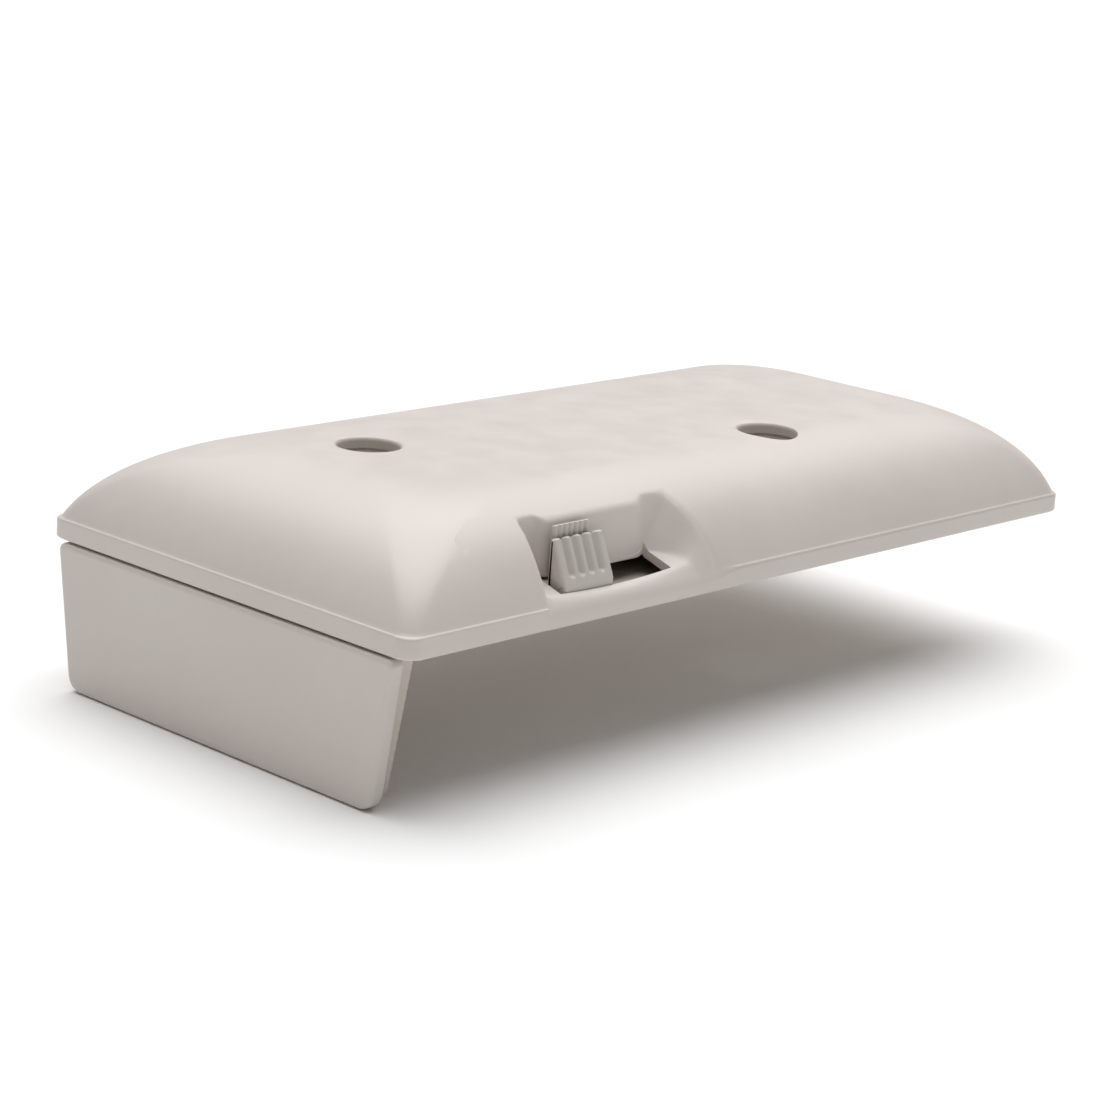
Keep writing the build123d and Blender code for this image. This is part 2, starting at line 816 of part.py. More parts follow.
with BuildPart() as antenna_loop:
    with BuildLine() as loop_path:
        FilletPolyline(
            (antenna_right, antenna_front, board_top),
            (antenna_right, antenna_front, antenna_height),
            (antenna_right, antenna_back, antenna_height),
            (antenna_left, antenna_back, antenna_height),
            (antenna_left, antenna_back, board_top),
            radius=antenna_bend,
        )
    with BuildSketch(Plane(origin=loop_path.line @ 0, z_dir=loop_path.line % 0)):
        Circle(antenna_wire)
    sweep()
keep(antenna_loop, "antenna_loop")

# ---- Battery, its cradle, end contacts and the two leads to the board
cradle_length = cradle_right - cradle_left
cradle_half = battery_radius + battery_gap + cradle_side
with BuildPart() as battery_cradle:
    with BuildSketch(plate_top):
        with Locations(((cradle_left + cradle_right) / 2, battery_y)):
            Rectangle(cradle_length, 2 * cradle_half)
    extrude(amount=battery_z - base_thickness)
    with BuildSketch(Plane(origin=(cradle_left + cradle_end, battery_y, battery_z), z_dir=(1, 0, 0))):
        Circle(battery_radius + battery_gap)
    extrude(amount=cradle_length - 2 * cradle_end, mode=Mode.SUBTRACT)
keep(battery_cradle, "battery_cradle")

with BuildPart() as battery_cell:
    with BuildSketch(Plane(origin=(battery_left, battery_y, battery_z), z_dir=(1, 0, 0))):
        Circle(battery_radius)
    extrude(amount=battery_length - battery_nub_height)
    fillet(battery_cell.edges(), battery_round)
    with BuildSketch(Plane(origin=(battery_left, battery_y, battery_z), z_dir=(1, 0, 0))):
        Circle(battery_nub_radius)
    extrude(amount=battery_length)
keep(battery_cell, "battery_cell")

positive_x = cradle_right - cradle_end - contact_thickness - contact_gap
negative_x = cradle_left + cradle_end + contact_gap
for name, contact_x in (("positive_contact", positive_x), ("negative_contact", negative_x)):
    with BuildPart() as contact:
        with BuildSketch(Plane(origin=(contact_x, battery_y, battery_z), z_dir=(1, 0, 0))):
            Circle(contact_half_width)
        extrude(amount=contact_thickness)
        with BuildSketch(Plane.YZ.offset(contact_x)):
            with Locations((battery_y - contact_tab_offset, (battery_z + contact_top) / 2)):
                Rectangle(contact_half_width, contact_top - battery_z)
        extrude(amount=contact_thickness)
    keep(contact, name)

coil_start = negative_x + contact_thickness + coil_gap
negative_coil = coil(
    (coil_start, battery_y, battery_z),
    coil_radius,
    coil_wire,
    coil_pitch,
    coil_length,
    (1, 0, 0),
)
keep(negative_coil, "negative_coil")

lead_routes = [
    ("positive_lead", cradle_right - cradle_end + lead_radius, *positive_run),
    ("negative_lead", cradle_left + cradle_end - lead_radius, *negative_run),
]
for name, lead_x, run_y, pad_x in lead_routes:
    with BuildPart() as lead:
        with BuildLine() as lead_path:
            FilletPolyline(
                (lead_x, battery_y - lead_start_offset, lead_height),
                (lead_x, run_y, lead_height),
                (pad_x, run_y, lead_height),
                (pad_x, run_y, board_top),
                radius=lead_bend,
            )
        with BuildSketch(Plane(origin=lead_path.line @ 0, z_dir=lead_path.line % 0)):
            Circle(lead_radius)
        sweep()
    keep(lead, name)

print(len(written), "pieces written")
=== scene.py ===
import bpy
import math
import numpy as np
from mathutils import Matrix, Vector


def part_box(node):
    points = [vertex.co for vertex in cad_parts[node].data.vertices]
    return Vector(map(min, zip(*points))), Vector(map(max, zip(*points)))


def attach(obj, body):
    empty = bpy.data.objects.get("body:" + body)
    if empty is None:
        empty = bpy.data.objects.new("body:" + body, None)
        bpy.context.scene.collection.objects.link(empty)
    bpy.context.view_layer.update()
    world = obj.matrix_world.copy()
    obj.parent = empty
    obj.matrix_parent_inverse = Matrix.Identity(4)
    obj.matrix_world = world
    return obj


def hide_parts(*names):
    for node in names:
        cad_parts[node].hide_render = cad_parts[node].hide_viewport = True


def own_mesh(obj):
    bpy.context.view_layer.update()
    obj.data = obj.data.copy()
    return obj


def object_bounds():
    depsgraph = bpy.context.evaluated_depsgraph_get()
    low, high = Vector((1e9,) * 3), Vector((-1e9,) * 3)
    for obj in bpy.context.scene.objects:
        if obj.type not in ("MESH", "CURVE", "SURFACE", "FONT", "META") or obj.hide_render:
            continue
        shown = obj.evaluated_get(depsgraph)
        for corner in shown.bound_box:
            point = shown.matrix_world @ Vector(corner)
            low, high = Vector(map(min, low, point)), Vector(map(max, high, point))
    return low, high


# Hand-operated garage door opener. The CAD frame gives every place; surfaces are worked out in
# millimetres and written to their meshes in metres.
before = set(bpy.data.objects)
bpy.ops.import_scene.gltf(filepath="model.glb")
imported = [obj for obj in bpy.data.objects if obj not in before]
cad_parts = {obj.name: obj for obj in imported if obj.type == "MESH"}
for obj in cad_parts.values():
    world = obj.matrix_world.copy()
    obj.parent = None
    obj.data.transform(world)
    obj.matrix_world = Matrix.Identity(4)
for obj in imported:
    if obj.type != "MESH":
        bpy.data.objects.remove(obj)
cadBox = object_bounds()
print("frame loaded:", len(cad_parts), "nodes")

mm = 0.001


def cornersInMm(node):
    low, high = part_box(node)
    return np.array(low) / mm, np.array(high) / mm


# camera: where the eye stands and how it is turned
cameraSetup = {
    "place": (-328.4, -297.4, 112.8),
    "azimuth": -47.15,
    "elevation": 14.88,
    "roll": 3.73,
    "lens": 95.12,
    "sensor": 36.0,
    "clipStart": 0.01,
}


# Camera looking down its own -Z: turned by azimuth, then elevation, then rolled.
def makeCamera(values):
    azimuth, elevation = math.radians(values["azimuth"]), math.radians(values["elevation"])
    roll = math.radians(values["roll"])
    right = Vector((math.cos(azimuth), math.sin(azimuth), 0))
    back = Vector((
        math.sin(azimuth) * math.cos(elevation),
        -math.cos(azimuth) * math.cos(elevation),
        math.sin(elevation),
    ))
    up = back.cross(right)
    rolledRight = right * math.cos(roll) + up * math.sin(roll)
    rolledUp = back.cross(rolledRight)
    turn = Matrix((rolledRight, rolledUp, back)).transposed().to_4x4()
    data = bpy.data.cameras.new("camera")
    data.lens = values["lens"]
    data.sensor_width = values["sensor"]
    data.clip_start = values["clipStart"]
    camera = bpy.data.objects.new("camera", data)
    camera.matrix_world = Matrix.Translation(Vector(values["place"]) * mm) @ turn
    bpy.context.scene.collection.objects.link(camera)
    bpy.context.scene.camera = camera


makeCamera(cameraSetup)
print("camera set")


# small tools shared by the pieces

# 6t^5 - 15t^4 + 10t^3: rises from 0 to 1 with no slope or curvature at either end.
def smoothStep(t):
    t = np.clip(t, 0, 1)
    return t * t * t * (t * (6 * t - 15) + 10)


# A mesh object at the origin from points in mm; faces are index tuples.
def meshPiece(name, points, faces, material, sharpAngle=40):
    mesh = bpy.data.meshes.new(name)
    mesh.from_pydata((np.asarray(points) * mm).tolist(), [], faces)
    mesh.polygons.foreach_set("use_smooth", np.ones(len(mesh.polygons), bool))
    mesh.materials.append(material)
    mesh.validate()
    mesh.set_sharp_from_angle(angle=math.radians(sharpAngle))
    mesh.update()
    piece = bpy.data.objects.new(name, mesh)
    bpy.context.scene.collection.objects.link(piece)
    return piece


# Quads of a grid stored row by row; wrap joins each row's last point to its first.
def gridFaces(rows, columns, wrap=True, start=0, flip=False):
    acrossCount = columns if wrap else columns - 1
    row, column = np.meshgrid(np.arange(rows - 1), np.arange(acrossCount), indexing="ij")
    nextColumn = (column + 1) % columns
    a = start + row * columns + column
    b = start + row * columns + nextColumn
    c = start + (row + 1) * columns + nextColumn
    d = start + (row + 1) * columns + column
    quads = np.stack([a, d, c, b] if flip else [a, b, c, d], -1)
    return quads.reshape(-1, 4)


# Rings stored one after another, joined side to side and capped with a face at each end.
def ringFaces(rings, count):
    faces = gridFaces(rings, count).tolist()
    faces.append(np.arange(count)[::-1].tolist())
    faces.append(((rings - 1) * count + np.arange(count)).tolist())
    return faces


# Turns the piece's live modifiers into its mesh.
def applied(piece):
    graph = bpy.context.evaluated_depsgraph_get()
    mesh = bpy.data.meshes.new_from_object(piece.evaluated_get(graph))
    piece.modifiers.clear()
    piece.data = mesh
    return piece


# materials

# sRGB hex to the linear colour that the shader takes.
def toLinear(hexColour):
    parts = [int(hexColour[i:i + 2], 16) / 255 for i in (1, 3, 5)]
    return (*[c / 12.92 if c <= 0.04045 else ((c + 0.055) / 1.055) ** 2.4 for c in parts], 1)


# One node with its socket or property settings, and its inputs linked from other nodes' outputs.
def addNode(tree, kind, settings=None, links=None):
    node = tree.nodes.new(kind)
    for key, value in (settings or {}).items():
        if key in node.inputs:
            node.inputs[key].default_value = value
        else:
            setattr(node, key, value)
    for key, source in (links or {}).items():
        tree.links.new(source, node.inputs[key])
    return node


def startMaterial(name, roughness, metallic=0.0, ior=None):
    material = bpy.data.materials.new(name)
    material.use_nodes = True
    tree = material.node_tree
    shader = tree.nodes["Principled BSDF"]
    shader.inputs["Roughness"].default_value = roughness
    shader.inputs["Metallic"].default_value = metallic
    if ior is not None:
        shader.inputs["IOR"].default_value = ior
    place = addNode(tree, "ShaderNodeTexCoord").outputs["Object"]
    return material, tree, shader, place


# Noise scale whose features are about sizeMm across.
def perMetre(sizeMm):
    return 1 / (sizeMm * mm)


mould = {
    "cloudMm": 38,
    "flowMm": 6,
    "flowShare": 0.35,
    "deepAt": 0.40,
    "lightAt": 0.95,
    "glossFrom": (0.3, 0.7),
    "glossSpread": (-0.04, 0.05),
    "grainStrength": 0.5,
}


# Injection-moulded plastic: satin, faintly cloudy in colour, with the spark-eroded grain of its mould.
def mouldedPlastic(name, hexColour, hexDeep, roughness, grainMm=0.35, grainDepth=0.012, ior=1.53):
    material, tree, shader, place = startMaterial(name, roughness, ior=ior)
    cloud = addNode(tree, "ShaderNodeTexNoise",
                    {"Scale": perMetre(mould["cloudMm"]), "Detail": 2.0, "Roughness": 0.5},
                    {"Vector": place})
    flow = addNode(tree, "ShaderNodeTexNoise",
                   {"Scale": perMetre(mould["flowMm"]), "Detail": 3.0, "Roughness": 0.6},
                   {"Vector": place})
    both = addNode(tree, "ShaderNodeMath", {"operation": "MULTIPLY_ADD"})
    tree.links.new(flow.outputs["Fac"], both.inputs[0])
    both.inputs[1].default_value = mould["flowShare"]
    tree.links.new(cloud.outputs["Fac"], both.inputs[2])
    tint = addNode(tree, "ShaderNodeValToRGB", {}, {"Fac": both.outputs[0]})
    tint.color_ramp.elements[0].position = mould["deepAt"]
    tint.color_ramp.elements[0].color = toLinear(hexDeep)
    tint.color_ramp.elements[1].position = mould["lightAt"]
    tint.color_ramp.elements[1].color = toLinear(hexColour)
    tree.links.new(tint.outputs["Color"], shader.inputs["Base Color"])
    fromMin, fromMax = mould["glossFrom"]
    smoother, rougher = mould["glossSpread"]
    gloss = addNode(tree, "ShaderNodeMapRange",
                    {"From Min": fromMin, "From Max": fromMax,
                     "To Min": roughness + smoother, "To Max": roughness + rougher},
                    {"Value": flow.outputs["Fac"]})
    tree.links.new(gloss.outputs["Result"], shader.inputs["Roughness"])
    grain = addNode(tree, "ShaderNodeTexNoise",
                    {"Scale": perMetre(grainMm), "Detail": 2.0, "Roughness": 0.55},
                    {"Vector": place})
    bump = addNode(tree, "ShaderNodeBump",
                   {"Strength": mould["grainStrength"], "Distance": grainDepth * mm},
                   {"Height": grain.outputs["Fac"]})
    tree.links.new(bump.outputs["Normal"], shader.inputs["Normal"])
    return material


# satin pale warm grey, a soft broad highlight on the crown
coverAbs = mouldedPlastic("injectionMouldedAbsCover", "#D9D1CB", "#D2C9C3", 0.42)
# a touch cooler and glossier where fingers polish it
slideAbs = mouldedPlastic("injectionMouldedAbsSlide", "#CFC9C3", "#C6BFB8", 0.36, grainDepth=0.006)
# duller and darker, so the base reads as a separate moulding
baseAbs = mouldedPlastic("injectionMouldedAbsBase", "#C9BFB6", "#C0B5AB", 0.50)
# near black with a dry, fibrous grain
blackNylon = mouldedPlastic("glassFilledNylonBlack", "#1B1B1C", "#121213", 0.48, grainMm=0.25)
# deep red, slightly glossy
redNylon = mouldedPlastic("mouldedNylonRed", "#8E1F18", "#7C1712", 0.35)
# waxy off-white
acetal = mouldedPlastic("naturalAcetal", "#EDEAE0", "#E2DED2", 0.32, grainDepth=0.005, ior=1.48)


drawn = {
    "stretch": 0.12,
    "darkAt": 0.3,
    "lightAt": 0.7,
    "glossSpread": (-0.06, 0.08),
    "streakStrength": 0.3,
    "streakDepth": 0.004,
}


# Plated or bare metal: fine drawn streaks along X and a slow change of tone.
def metalFinish(name, hexLight, hexDark, roughness, streakMm):
    material, tree, shader, place = startMaterial(name, roughness, metallic=1.0)
    stretch = addNode(tree, "ShaderNodeMapping", {"Scale": (drawn["stretch"], 1.0, 1.0)},
                      {"Vector": place})
    streak = addNode(tree, "ShaderNodeTexNoise", {"Scale": perMetre(streakMm), "Detail": 3.0},
                     {"Vector": stretch.outputs["Vector"]})
    tint = addNode(tree, "ShaderNodeValToRGB", {}, {"Fac": streak.outputs["Fac"]})
    tint.color_ramp.elements[0].position = drawn["darkAt"]
    tint.color_ramp.elements[0].color = toLinear(hexDark)
    tint.color_ramp.elements[1].position = drawn["lightAt"]
    tint.color_ramp.elements[1].color = toLinear(hexLight)
    tree.links.new(tint.outputs["Color"], shader.inputs["Base Color"])
    smoother, rougher = drawn["glossSpread"]
    gloss = addNode(tree, "ShaderNodeMapRange",
                    {"To Min": roughness + smoother, "To Max": roughness + rougher},
                    {"Value": streak.outputs["Fac"]})
    tree.links.new(gloss.outputs["Result"], shader.inputs["Roughness"])
    bump = addNode(tree, "ShaderNodeBump",
                   {"Strength": drawn["streakStrength"], "Distance": drawn["streakDepth"] * mm},
                   {"Height": streak.outputs["Fac"]})
    tree.links.new(bump.outputs["Normal"], shader.inputs["Normal"])
    return material


# cool blue-white plating with faint drawing lines
zincSteel = metalFinish("zincPlatedSteel", "#C4C6C8", "#9EA1A4", 0.32, 0.3)
# soft silvery yellow, dulled by the tin
tinnedBrass = metalFinish("tinnedBrass", "#D6D0BF", "#B3AA92", 0.30, 0.4)
# warm orange-red, bright along the wire
copperWire = metalFinish("drawnCopper", "#D98C62", "#A9623C", 0.28, 0.3)


waveTurn = 6.28  # a wave texture repeats once per turn, so its scale is per metre over this
film = {
    "bandAt": 0.55,
    "bandFull": 0.95,
    "distortion": 0.4,
    "waverMm": 1.5,
    "waverStrength": 0.3,
    "waverDepth": 0.02,
}


# Shrunk or lacquered skin: glossy, with soft rings of a second tone round it.
def glossySleeve(name, hexColour, hexBand, roughness, bandMm):
    material, tree, shader, place = startMaterial(name, roughness, ior=1.5)
    ring = addNode(tree, "ShaderNodeTexWave",
                   {"Scale": perMetre(bandMm) / waveTurn, "Distortion": film["distortion"],
                    "bands_direction": "X"}, {"Vector": place})
    tint = addNode(tree, "ShaderNodeValToRGB", {}, {"Fac": ring.outputs["Fac"]})
    tint.color_ramp.elements[0].position = film["bandAt"]
    tint.color_ramp.elements[0].color = toLinear(hexColour)
    tint.color_ramp.elements[1].position = film["bandFull"]
    tint.color_ramp.elements[1].color = toLinear(hexBand)
    tree.links.new(tint.outputs["Color"], shader.inputs["Base Color"])
    waver = addNode(tree, "ShaderNodeTexNoise", {"Scale": perMetre(film["waverMm"])}, {"Vector": place})
    bump = addNode(tree, "ShaderNodeBump",
                   {"Strength": film["waverStrength"], "Distance": film["waverDepth"] * mm},
                   {"Height": waver.outputs["Fac"]})
    tree.links.new(bump.outputs["Normal"], shader.inputs["Normal"])
    return material


# dark blue film with one pale stripe a turn
blueSleeve = glossySleeve("shrunkSleeveBlue", "#1C2A5E", "#C9CCD8", 0.25, 3.0)
# glossy tan with brown bands
tanLacquer = glossySleeve("resistorLacquerTan", "#C9A36A", "#6B3A1E", 0.30, 1.6)
# plain grey film with a paler band
greySleeve = glossySleeve("batteryFilmGrey", "#5A6168", "#A7ACB0", 0.28, 14.0)


weave = {"pitchMm": 0.8, "strength": 0.4, "depth": 0.02}


# Glass-epoxy laminate: green solder resist over a 0.8 mm glass weave.
def boardLaminate():
    material, tree, shader, place = startMaterial("glassEpoxyLaminate", 0.35, ior=1.54)
    scale = perMetre(weave["pitchMm"]) / waveTurn
    warp = addNode(tree, "ShaderNodeTexWave", {"Scale": scale, "bands_direction": "X"},
                   {"Vector": place})
    weft = addNode(tree, "ShaderNodeTexWave", {"Scale": scale, "bands_direction": "Y"},
                   {"Vector": place})
    crossing = addNode(tree, "ShaderNodeMath", {"operation": "MULTIPLY"})
    tree.links.new(warp.outputs["Fac"], crossing.inputs[0])
    tree.links.new(weft.outputs["Fac"], crossing.inputs[1])
    tint = addNode(tree, "ShaderNodeValToRGB", {}, {"Fac": crossing.outputs[0]})
    tint.color_ramp.elements[0].color = toLinear("#17572F")
    tint.color_ramp.elements[1].color = toLinear("#1F6B3B")
    tree.links.new(tint.outputs["Color"], shader.inputs["Base Color"])
    bump = addNode(tree, "ShaderNodeBump",
                   {"Strength": weave["strength"], "Distance": weave["depth"] * mm},
                   {"Height": crossing.outputs[0]})
    tree.links.new(bump.outputs["Normal"], shader.inputs["Normal"])
    return material


laminate = boardLaminate()
print("materials made")

# CAD nodes that keep their own shape take these finishes
nodeFinishes = {
    "circuit_board": laminate,
    "slide_carriage": acetal,
    "trimmer_capacitor": acetal,
    "ceramic_capacitors": acetal,
    "guide_pin": zincSteel,
    "board_screws": zincSteel,
    "case_screws": zincSteel,
    "negative_coil": zincSteel,
    "microswitch_body": blackNylon,
    "encoder_chip": blackNylon,
    "oscillator_transistor": blackNylon,
    "battery_cradle": blackNylon,
    "negative_lead": blackNylon,
    "positive_lead": redNylon,
    "microswitch_plunger": redNylon,
    "microswitch_terminals": tinnedBrass,
    "chip_legs": tinnedBrass,
    "rf_resonator": tinnedBrass,
    "positive_contact": tinnedBrass,
    "negative_contact": tinnedBrass,
    "antenna_loop": copperWire,
    "electrolytic_capacitor": blueSleeve,
    "resistors": tanLacquer,
    "battery_cell": greySleeve,
}
for node, finish in nodeFinishes.items():
    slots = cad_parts[node].data.materials
    slots.clear()
    slots.append(finish)

# cover: one closed moulded skin, outside and inside, with the finger scoop and its slot
cover = {
    "rimHeight": 3.2,
    "rimStep": 0.3,
    "rimRound": 0.45,
    "bandRound": 0.5,
    "bandFoot": 1.7,
    "wall": 2.0,
    "seatInset": 2.1,
    "seatHeight": 2.2,
    "crownInset": 18.5,
    "crownSink": 0.3,
    "cornerAtRim": 2.6,
    "cornerGrowth": 0.65,
    "reachLeft": 1.2,
    "reachRight": 0.9,
    "reachBack": 1.2,
    "middleShare": 0.985,
    "scoopDepth": 10.6,
    "scoopFine": 0.2,
    "scoopReach": (-51.0, -9.0),
    "holdLeft": -51.0,
    "holdRight": 20.0,
    "footInset": 1.55,
    "bandLow": 1.35,
    "bandMiddle": 2.2,
    "bandDrop": 0.05,
    "bandLean": 0.5,
    "domeStart": 0.42,
    "domeSteps": (0.165, 0.7, 2.4),
    "frontStop": 50.0,
    "frontStep": 2.0,
    "sinkStart": 6.0,
    "sinkShort": 8.0,
    "roundSteps": 7,
    "cornerSteps": 16,
    "sideSteps": 38,
    "backSteps": 74,
    "sharpAngle": 38,
}
scoop = {
    "floorAtLip": 3.4,
    "lipY": -37.5,
    "floorSlope": 0.3,
    "dish": 0.5,
    "dishMiddle": -34.5,
    "dishHalf": 12.0,
    "lipRadius": 2.6,
    "floorThickness": 1.3,
    "backFoot": -31.5,
    "earDepth": 0.95,
    "leftEar": (-41.2, -44.2),
    "rightEar": (-24.0, -20.4),
    "steepness": 16.0,
    "earSteepness": 9.0,
    "leftTop": ((-46.75, -31.1), (-48.5, -37.8)),
    "rightTop": ((-16.2, -31.1), (-12.8, -38.1)),
    "endRun": 3.6,
    "endRunAtBack": 5.0,
    "endPower": 1.1,
    "blendPower": 3.2,
    "softReach": 0.9,
    "softRounds": 4,
    "shearLine": -29.5,
    "leftShear": (-46.2, -45.0, -49.6, -56.0),
    "rightShear": (-20.4, -17.0, -10.0, 12.0),
    "slotX": (-44.2, -21.2),
    "slotY": (-36.3, -31.6),
    "windowTop": 5.1,
    "windowBack": -26.5,
    "topOffset": 0.5,
    "leftLead": 0.4,
    "backZone": (3.0, 4.0),
    "leastRise": 0.5,
    "leastInset": 0.05,
    "mostClimb": 2.0,
    "wallZone": (-36.0, 3.6, -29.8, 2.0),
    "earSpan": (-60.0, 0.0),
    "edgeSoft": 0.3,
    "relax": 0.6,
    "relaxHold": 0.3,
    "relaxClear": 0.8,
    "backCover": 2.2,
    "onLine": 1e-6,
}
coverLow, coverHigh = cornersInMm("cover_shell")
halfLength = (coverHigh[0] - coverLow[0]) / 2
halfWidth = (coverHigh[1] - coverLow[1]) / 2
crownHeight = coverHigh[2]
crownRise = crownHeight - cover["rimHeight"]
crownRun = cover["crownInset"] - cover["rimStep"]
crownArc = (crownRun ** 2 + crownRise ** 2) / (2 * crownRise)
arcCentre = crownHeight - crownArc
plateauHalf = halfWidth - (cover["crownInset"] + cover["rimStep"] + crownRun * cover["reachBack"]) / 2
lastInset = cover["crownInset"] + plateauHalf * cover["middleShare"]


# Crown over the inset i from the edge: z = c + sqrt((R - thinner)^2 - (crownInset - i)^2), less the
# sink, which eases off towards the middle; thinner is the distance inwards along the arc's radius.
def crownZ(inset, thinner=0.0):
    across = np.clip(cover["crownInset"] - inset, 0, None)
    arc = np.sqrt(np.clip((crownArc - thinner) ** 2 - across ** 2, 0, None))
    sunk = smoothStep((inset - cover["sinkStart"]) / (lastInset - cover["sinkShort"]))
    sag = cover["crownSink"] * sunk
    return arcCentre + arc - cover["crownSink"] + sag * (inset > 0)


# Inset on a side whose slope reaches further in than the front's, or less far.
def reached(inset, reach):
    slope = np.minimum(inset, cover["crownInset"])
    step = cover["rimStep"]
    stretched = np.where(slope > step, step + (slope - step) * reach, slope)
    return stretched + inset - slope


def cornerRadius(inset):
    grown = cover["cornerAtRim"] + cover["cornerGrowth"] * np.minimum(inset, cover["crownInset"])
    left = 1 - np.clip(inset - cover["crownInset"], 0, None) / plateauHalf
    return grown * left


# Positions through the stops, each stretch divided into equal steps of about its own size.
def spacing(stops, steps):
    parts = [np.linspace(a, b, max(2, round(abs(b - a) / s) + 1))[:-1]
             for a, b, s in zip(stops, stops[1:], steps)]
    return np.concatenate([*parts, [stops[-1]]])


fullX = halfLength - cover["cornerAtRim"]
frontSteps = [cover["frontStep"], cover["scoopFine"], cover["frontStep"], cover["frontStep"]]
frontLines = spacing([-fullX, *cover["scoopReach"], cover["frontStop"], fullX], frontSteps)
for line in scoop["slotX"]:
    frontLines[np.argmin(abs(frontLines - line))] = line


# Lines up to hold keep their x while the scoop lasts; past it they crowd towards the corner.
def sideMap(lines, hold, full, limit, limitAtDepth, deep):
    held = np.where(deep, hold * limit / limitAtDepth, hold)
    crowded = held + (lines - hold) / (full - hold) * (limit - held)
    return np.where(abs(lines) <= abs(hold), lines * held / hold, crowded)


# Plan x, y of rounded rectangles at each inset; the -Y side's lines hold their x by the scoop.
def ringGrid(insets):
    insets = np.asarray(insets, float)[:, None]
    radius = cornerRadius(insets)
    left = -halfLength + reached(insets, cover["reachLeft"])
    right = halfLength - reached(insets, cover["reachRight"])
    front = -halfWidth + insets
    back = halfWidth - reached(insets, cover["reachBack"])
    lines = frontLines[None, :]
    depth = np.array([[cover["scoopDepth"]]])
    deep = insets > depth
    leftAtDepth = -halfLength + reached(depth, cover["reachLeft"]) + cornerRadius(depth)
    rightAtDepth = halfLength - reached(depth, cover["reachRight"]) - cornerRadius(depth)
    toLeft = sideMap(lines, cover["holdLeft"], -fullX, left + radius, leftAtDepth, deep)
    toRight = sideMap(lines, cover["holdRight"], fullX, right - radius, rightAtDepth, deep)
    x = [np.where(lines < 0, toLeft, toRight)]
    y = [front + 0 * lines]
    cornerTurns = np.linspace(0, math.pi / 2, cover["cornerSteps"])[1:-1]
    sideShare = np.linspace(0, 1, cover["sideSteps"])
    backShare = np.linspace(0, 1, cover["backSteps"])

    def corner(edgeX, edgeY, signX, signY, startAngle):
        x.append(edgeX - signX * radius + radius * np.cos(startAngle + cornerTurns))
        y.append(edgeY - signY * radius + radius * np.sin(startAngle + cornerTurns))

    corner(right, front, 1, -1, -math.pi / 2)
    x.append(right + 0 * sideShare)
    y.append(front + radius + (back - front - 2 * radius) * sideShare)
    corner(right, back, 1, 1, 0)
    x.append(right - radius - (right - left - 2 * radius) * backShare)
    y.append(back + 0 * backShare)
    corner(left, back, -1, 1, math.pi / 2)
    x.append(left + 0 * sideShare)
    y.append(back - radius - (back - front - 2 * radius) * sideShare)
    corner(left, front, -1, -1, math.pi)
    return np.concatenate(x, 1), np.concatenate(y, 1)


# Distance from a slanting wall line in plan; side is +1 when outside lies at larger x.
def besideLine(x, y, ends, side):
    (x0, y0), (x1, y1) = ends
    slope = (x1 - x0) / (y1 - y0)
    return side * (x - (x0 + slope * (y - y0))) / math.hypot(1, slope)


def earShare(x):
    leftStart, leftEnd = scoop["leftEar"]
    rightStart, rightEnd = scoop["rightEar"]
    left = smoothStep((x - leftStart) / (leftEnd - leftStart))
    return left + smoothStep((x - rightStart) / (rightEnd - rightStart))


# Slides the grid in plan so that its lines run along the scoop's slanting ends and eared back.
def followScoop(x, y):
    def share(start, full, fade, end):
        return smoothStep((x - start) / (full - start)) * (1 - smoothStep((x - fade) / (end - fade)))
    beyond = np.clip(scoop["shearLine"] - y, 0, None) * (y < 0)
    rates = []
    for ends in (scoop["leftTop"], scoop["rightTop"]):
        (x0, y0), (x1, y1) = ends
        rates.append((x1 - x0) / (y1 - y0))
    start, full, fade, end = scoop["leftShear"]
    newX = x - beyond * rates[0] * share(full, start, fade, end)
    newX = newX - beyond * rates[1] * share(*scoop["rightShear"])
    wallStart, wallRise, wallEnd, wallFall = scoop["wallZone"]
    nearWall = smoothStep((y - wallStart) / wallRise) * (1 - smoothStep((y - wallEnd) / wallFall))
    spanStart, spanEnd = scoop["earSpan"]
    newY = y + scoop["earDepth"] * earShare(x) * nearWall * (x > spanStart) * (x < spanEnd)
    return newX, newY


# Distance outside the scoop's top outline, negative inside it.
def scoopTop(x, y):
    back = y - scoop["backFoot"] - scoop["earDepth"] * earShare(x) - scoop["topOffset"]
    ends = np.maximum(besideLine(x, y, scoop["leftTop"], -1), besideLine(x, y, scoop["rightTop"], 1))
    return np.maximum(back, ends)


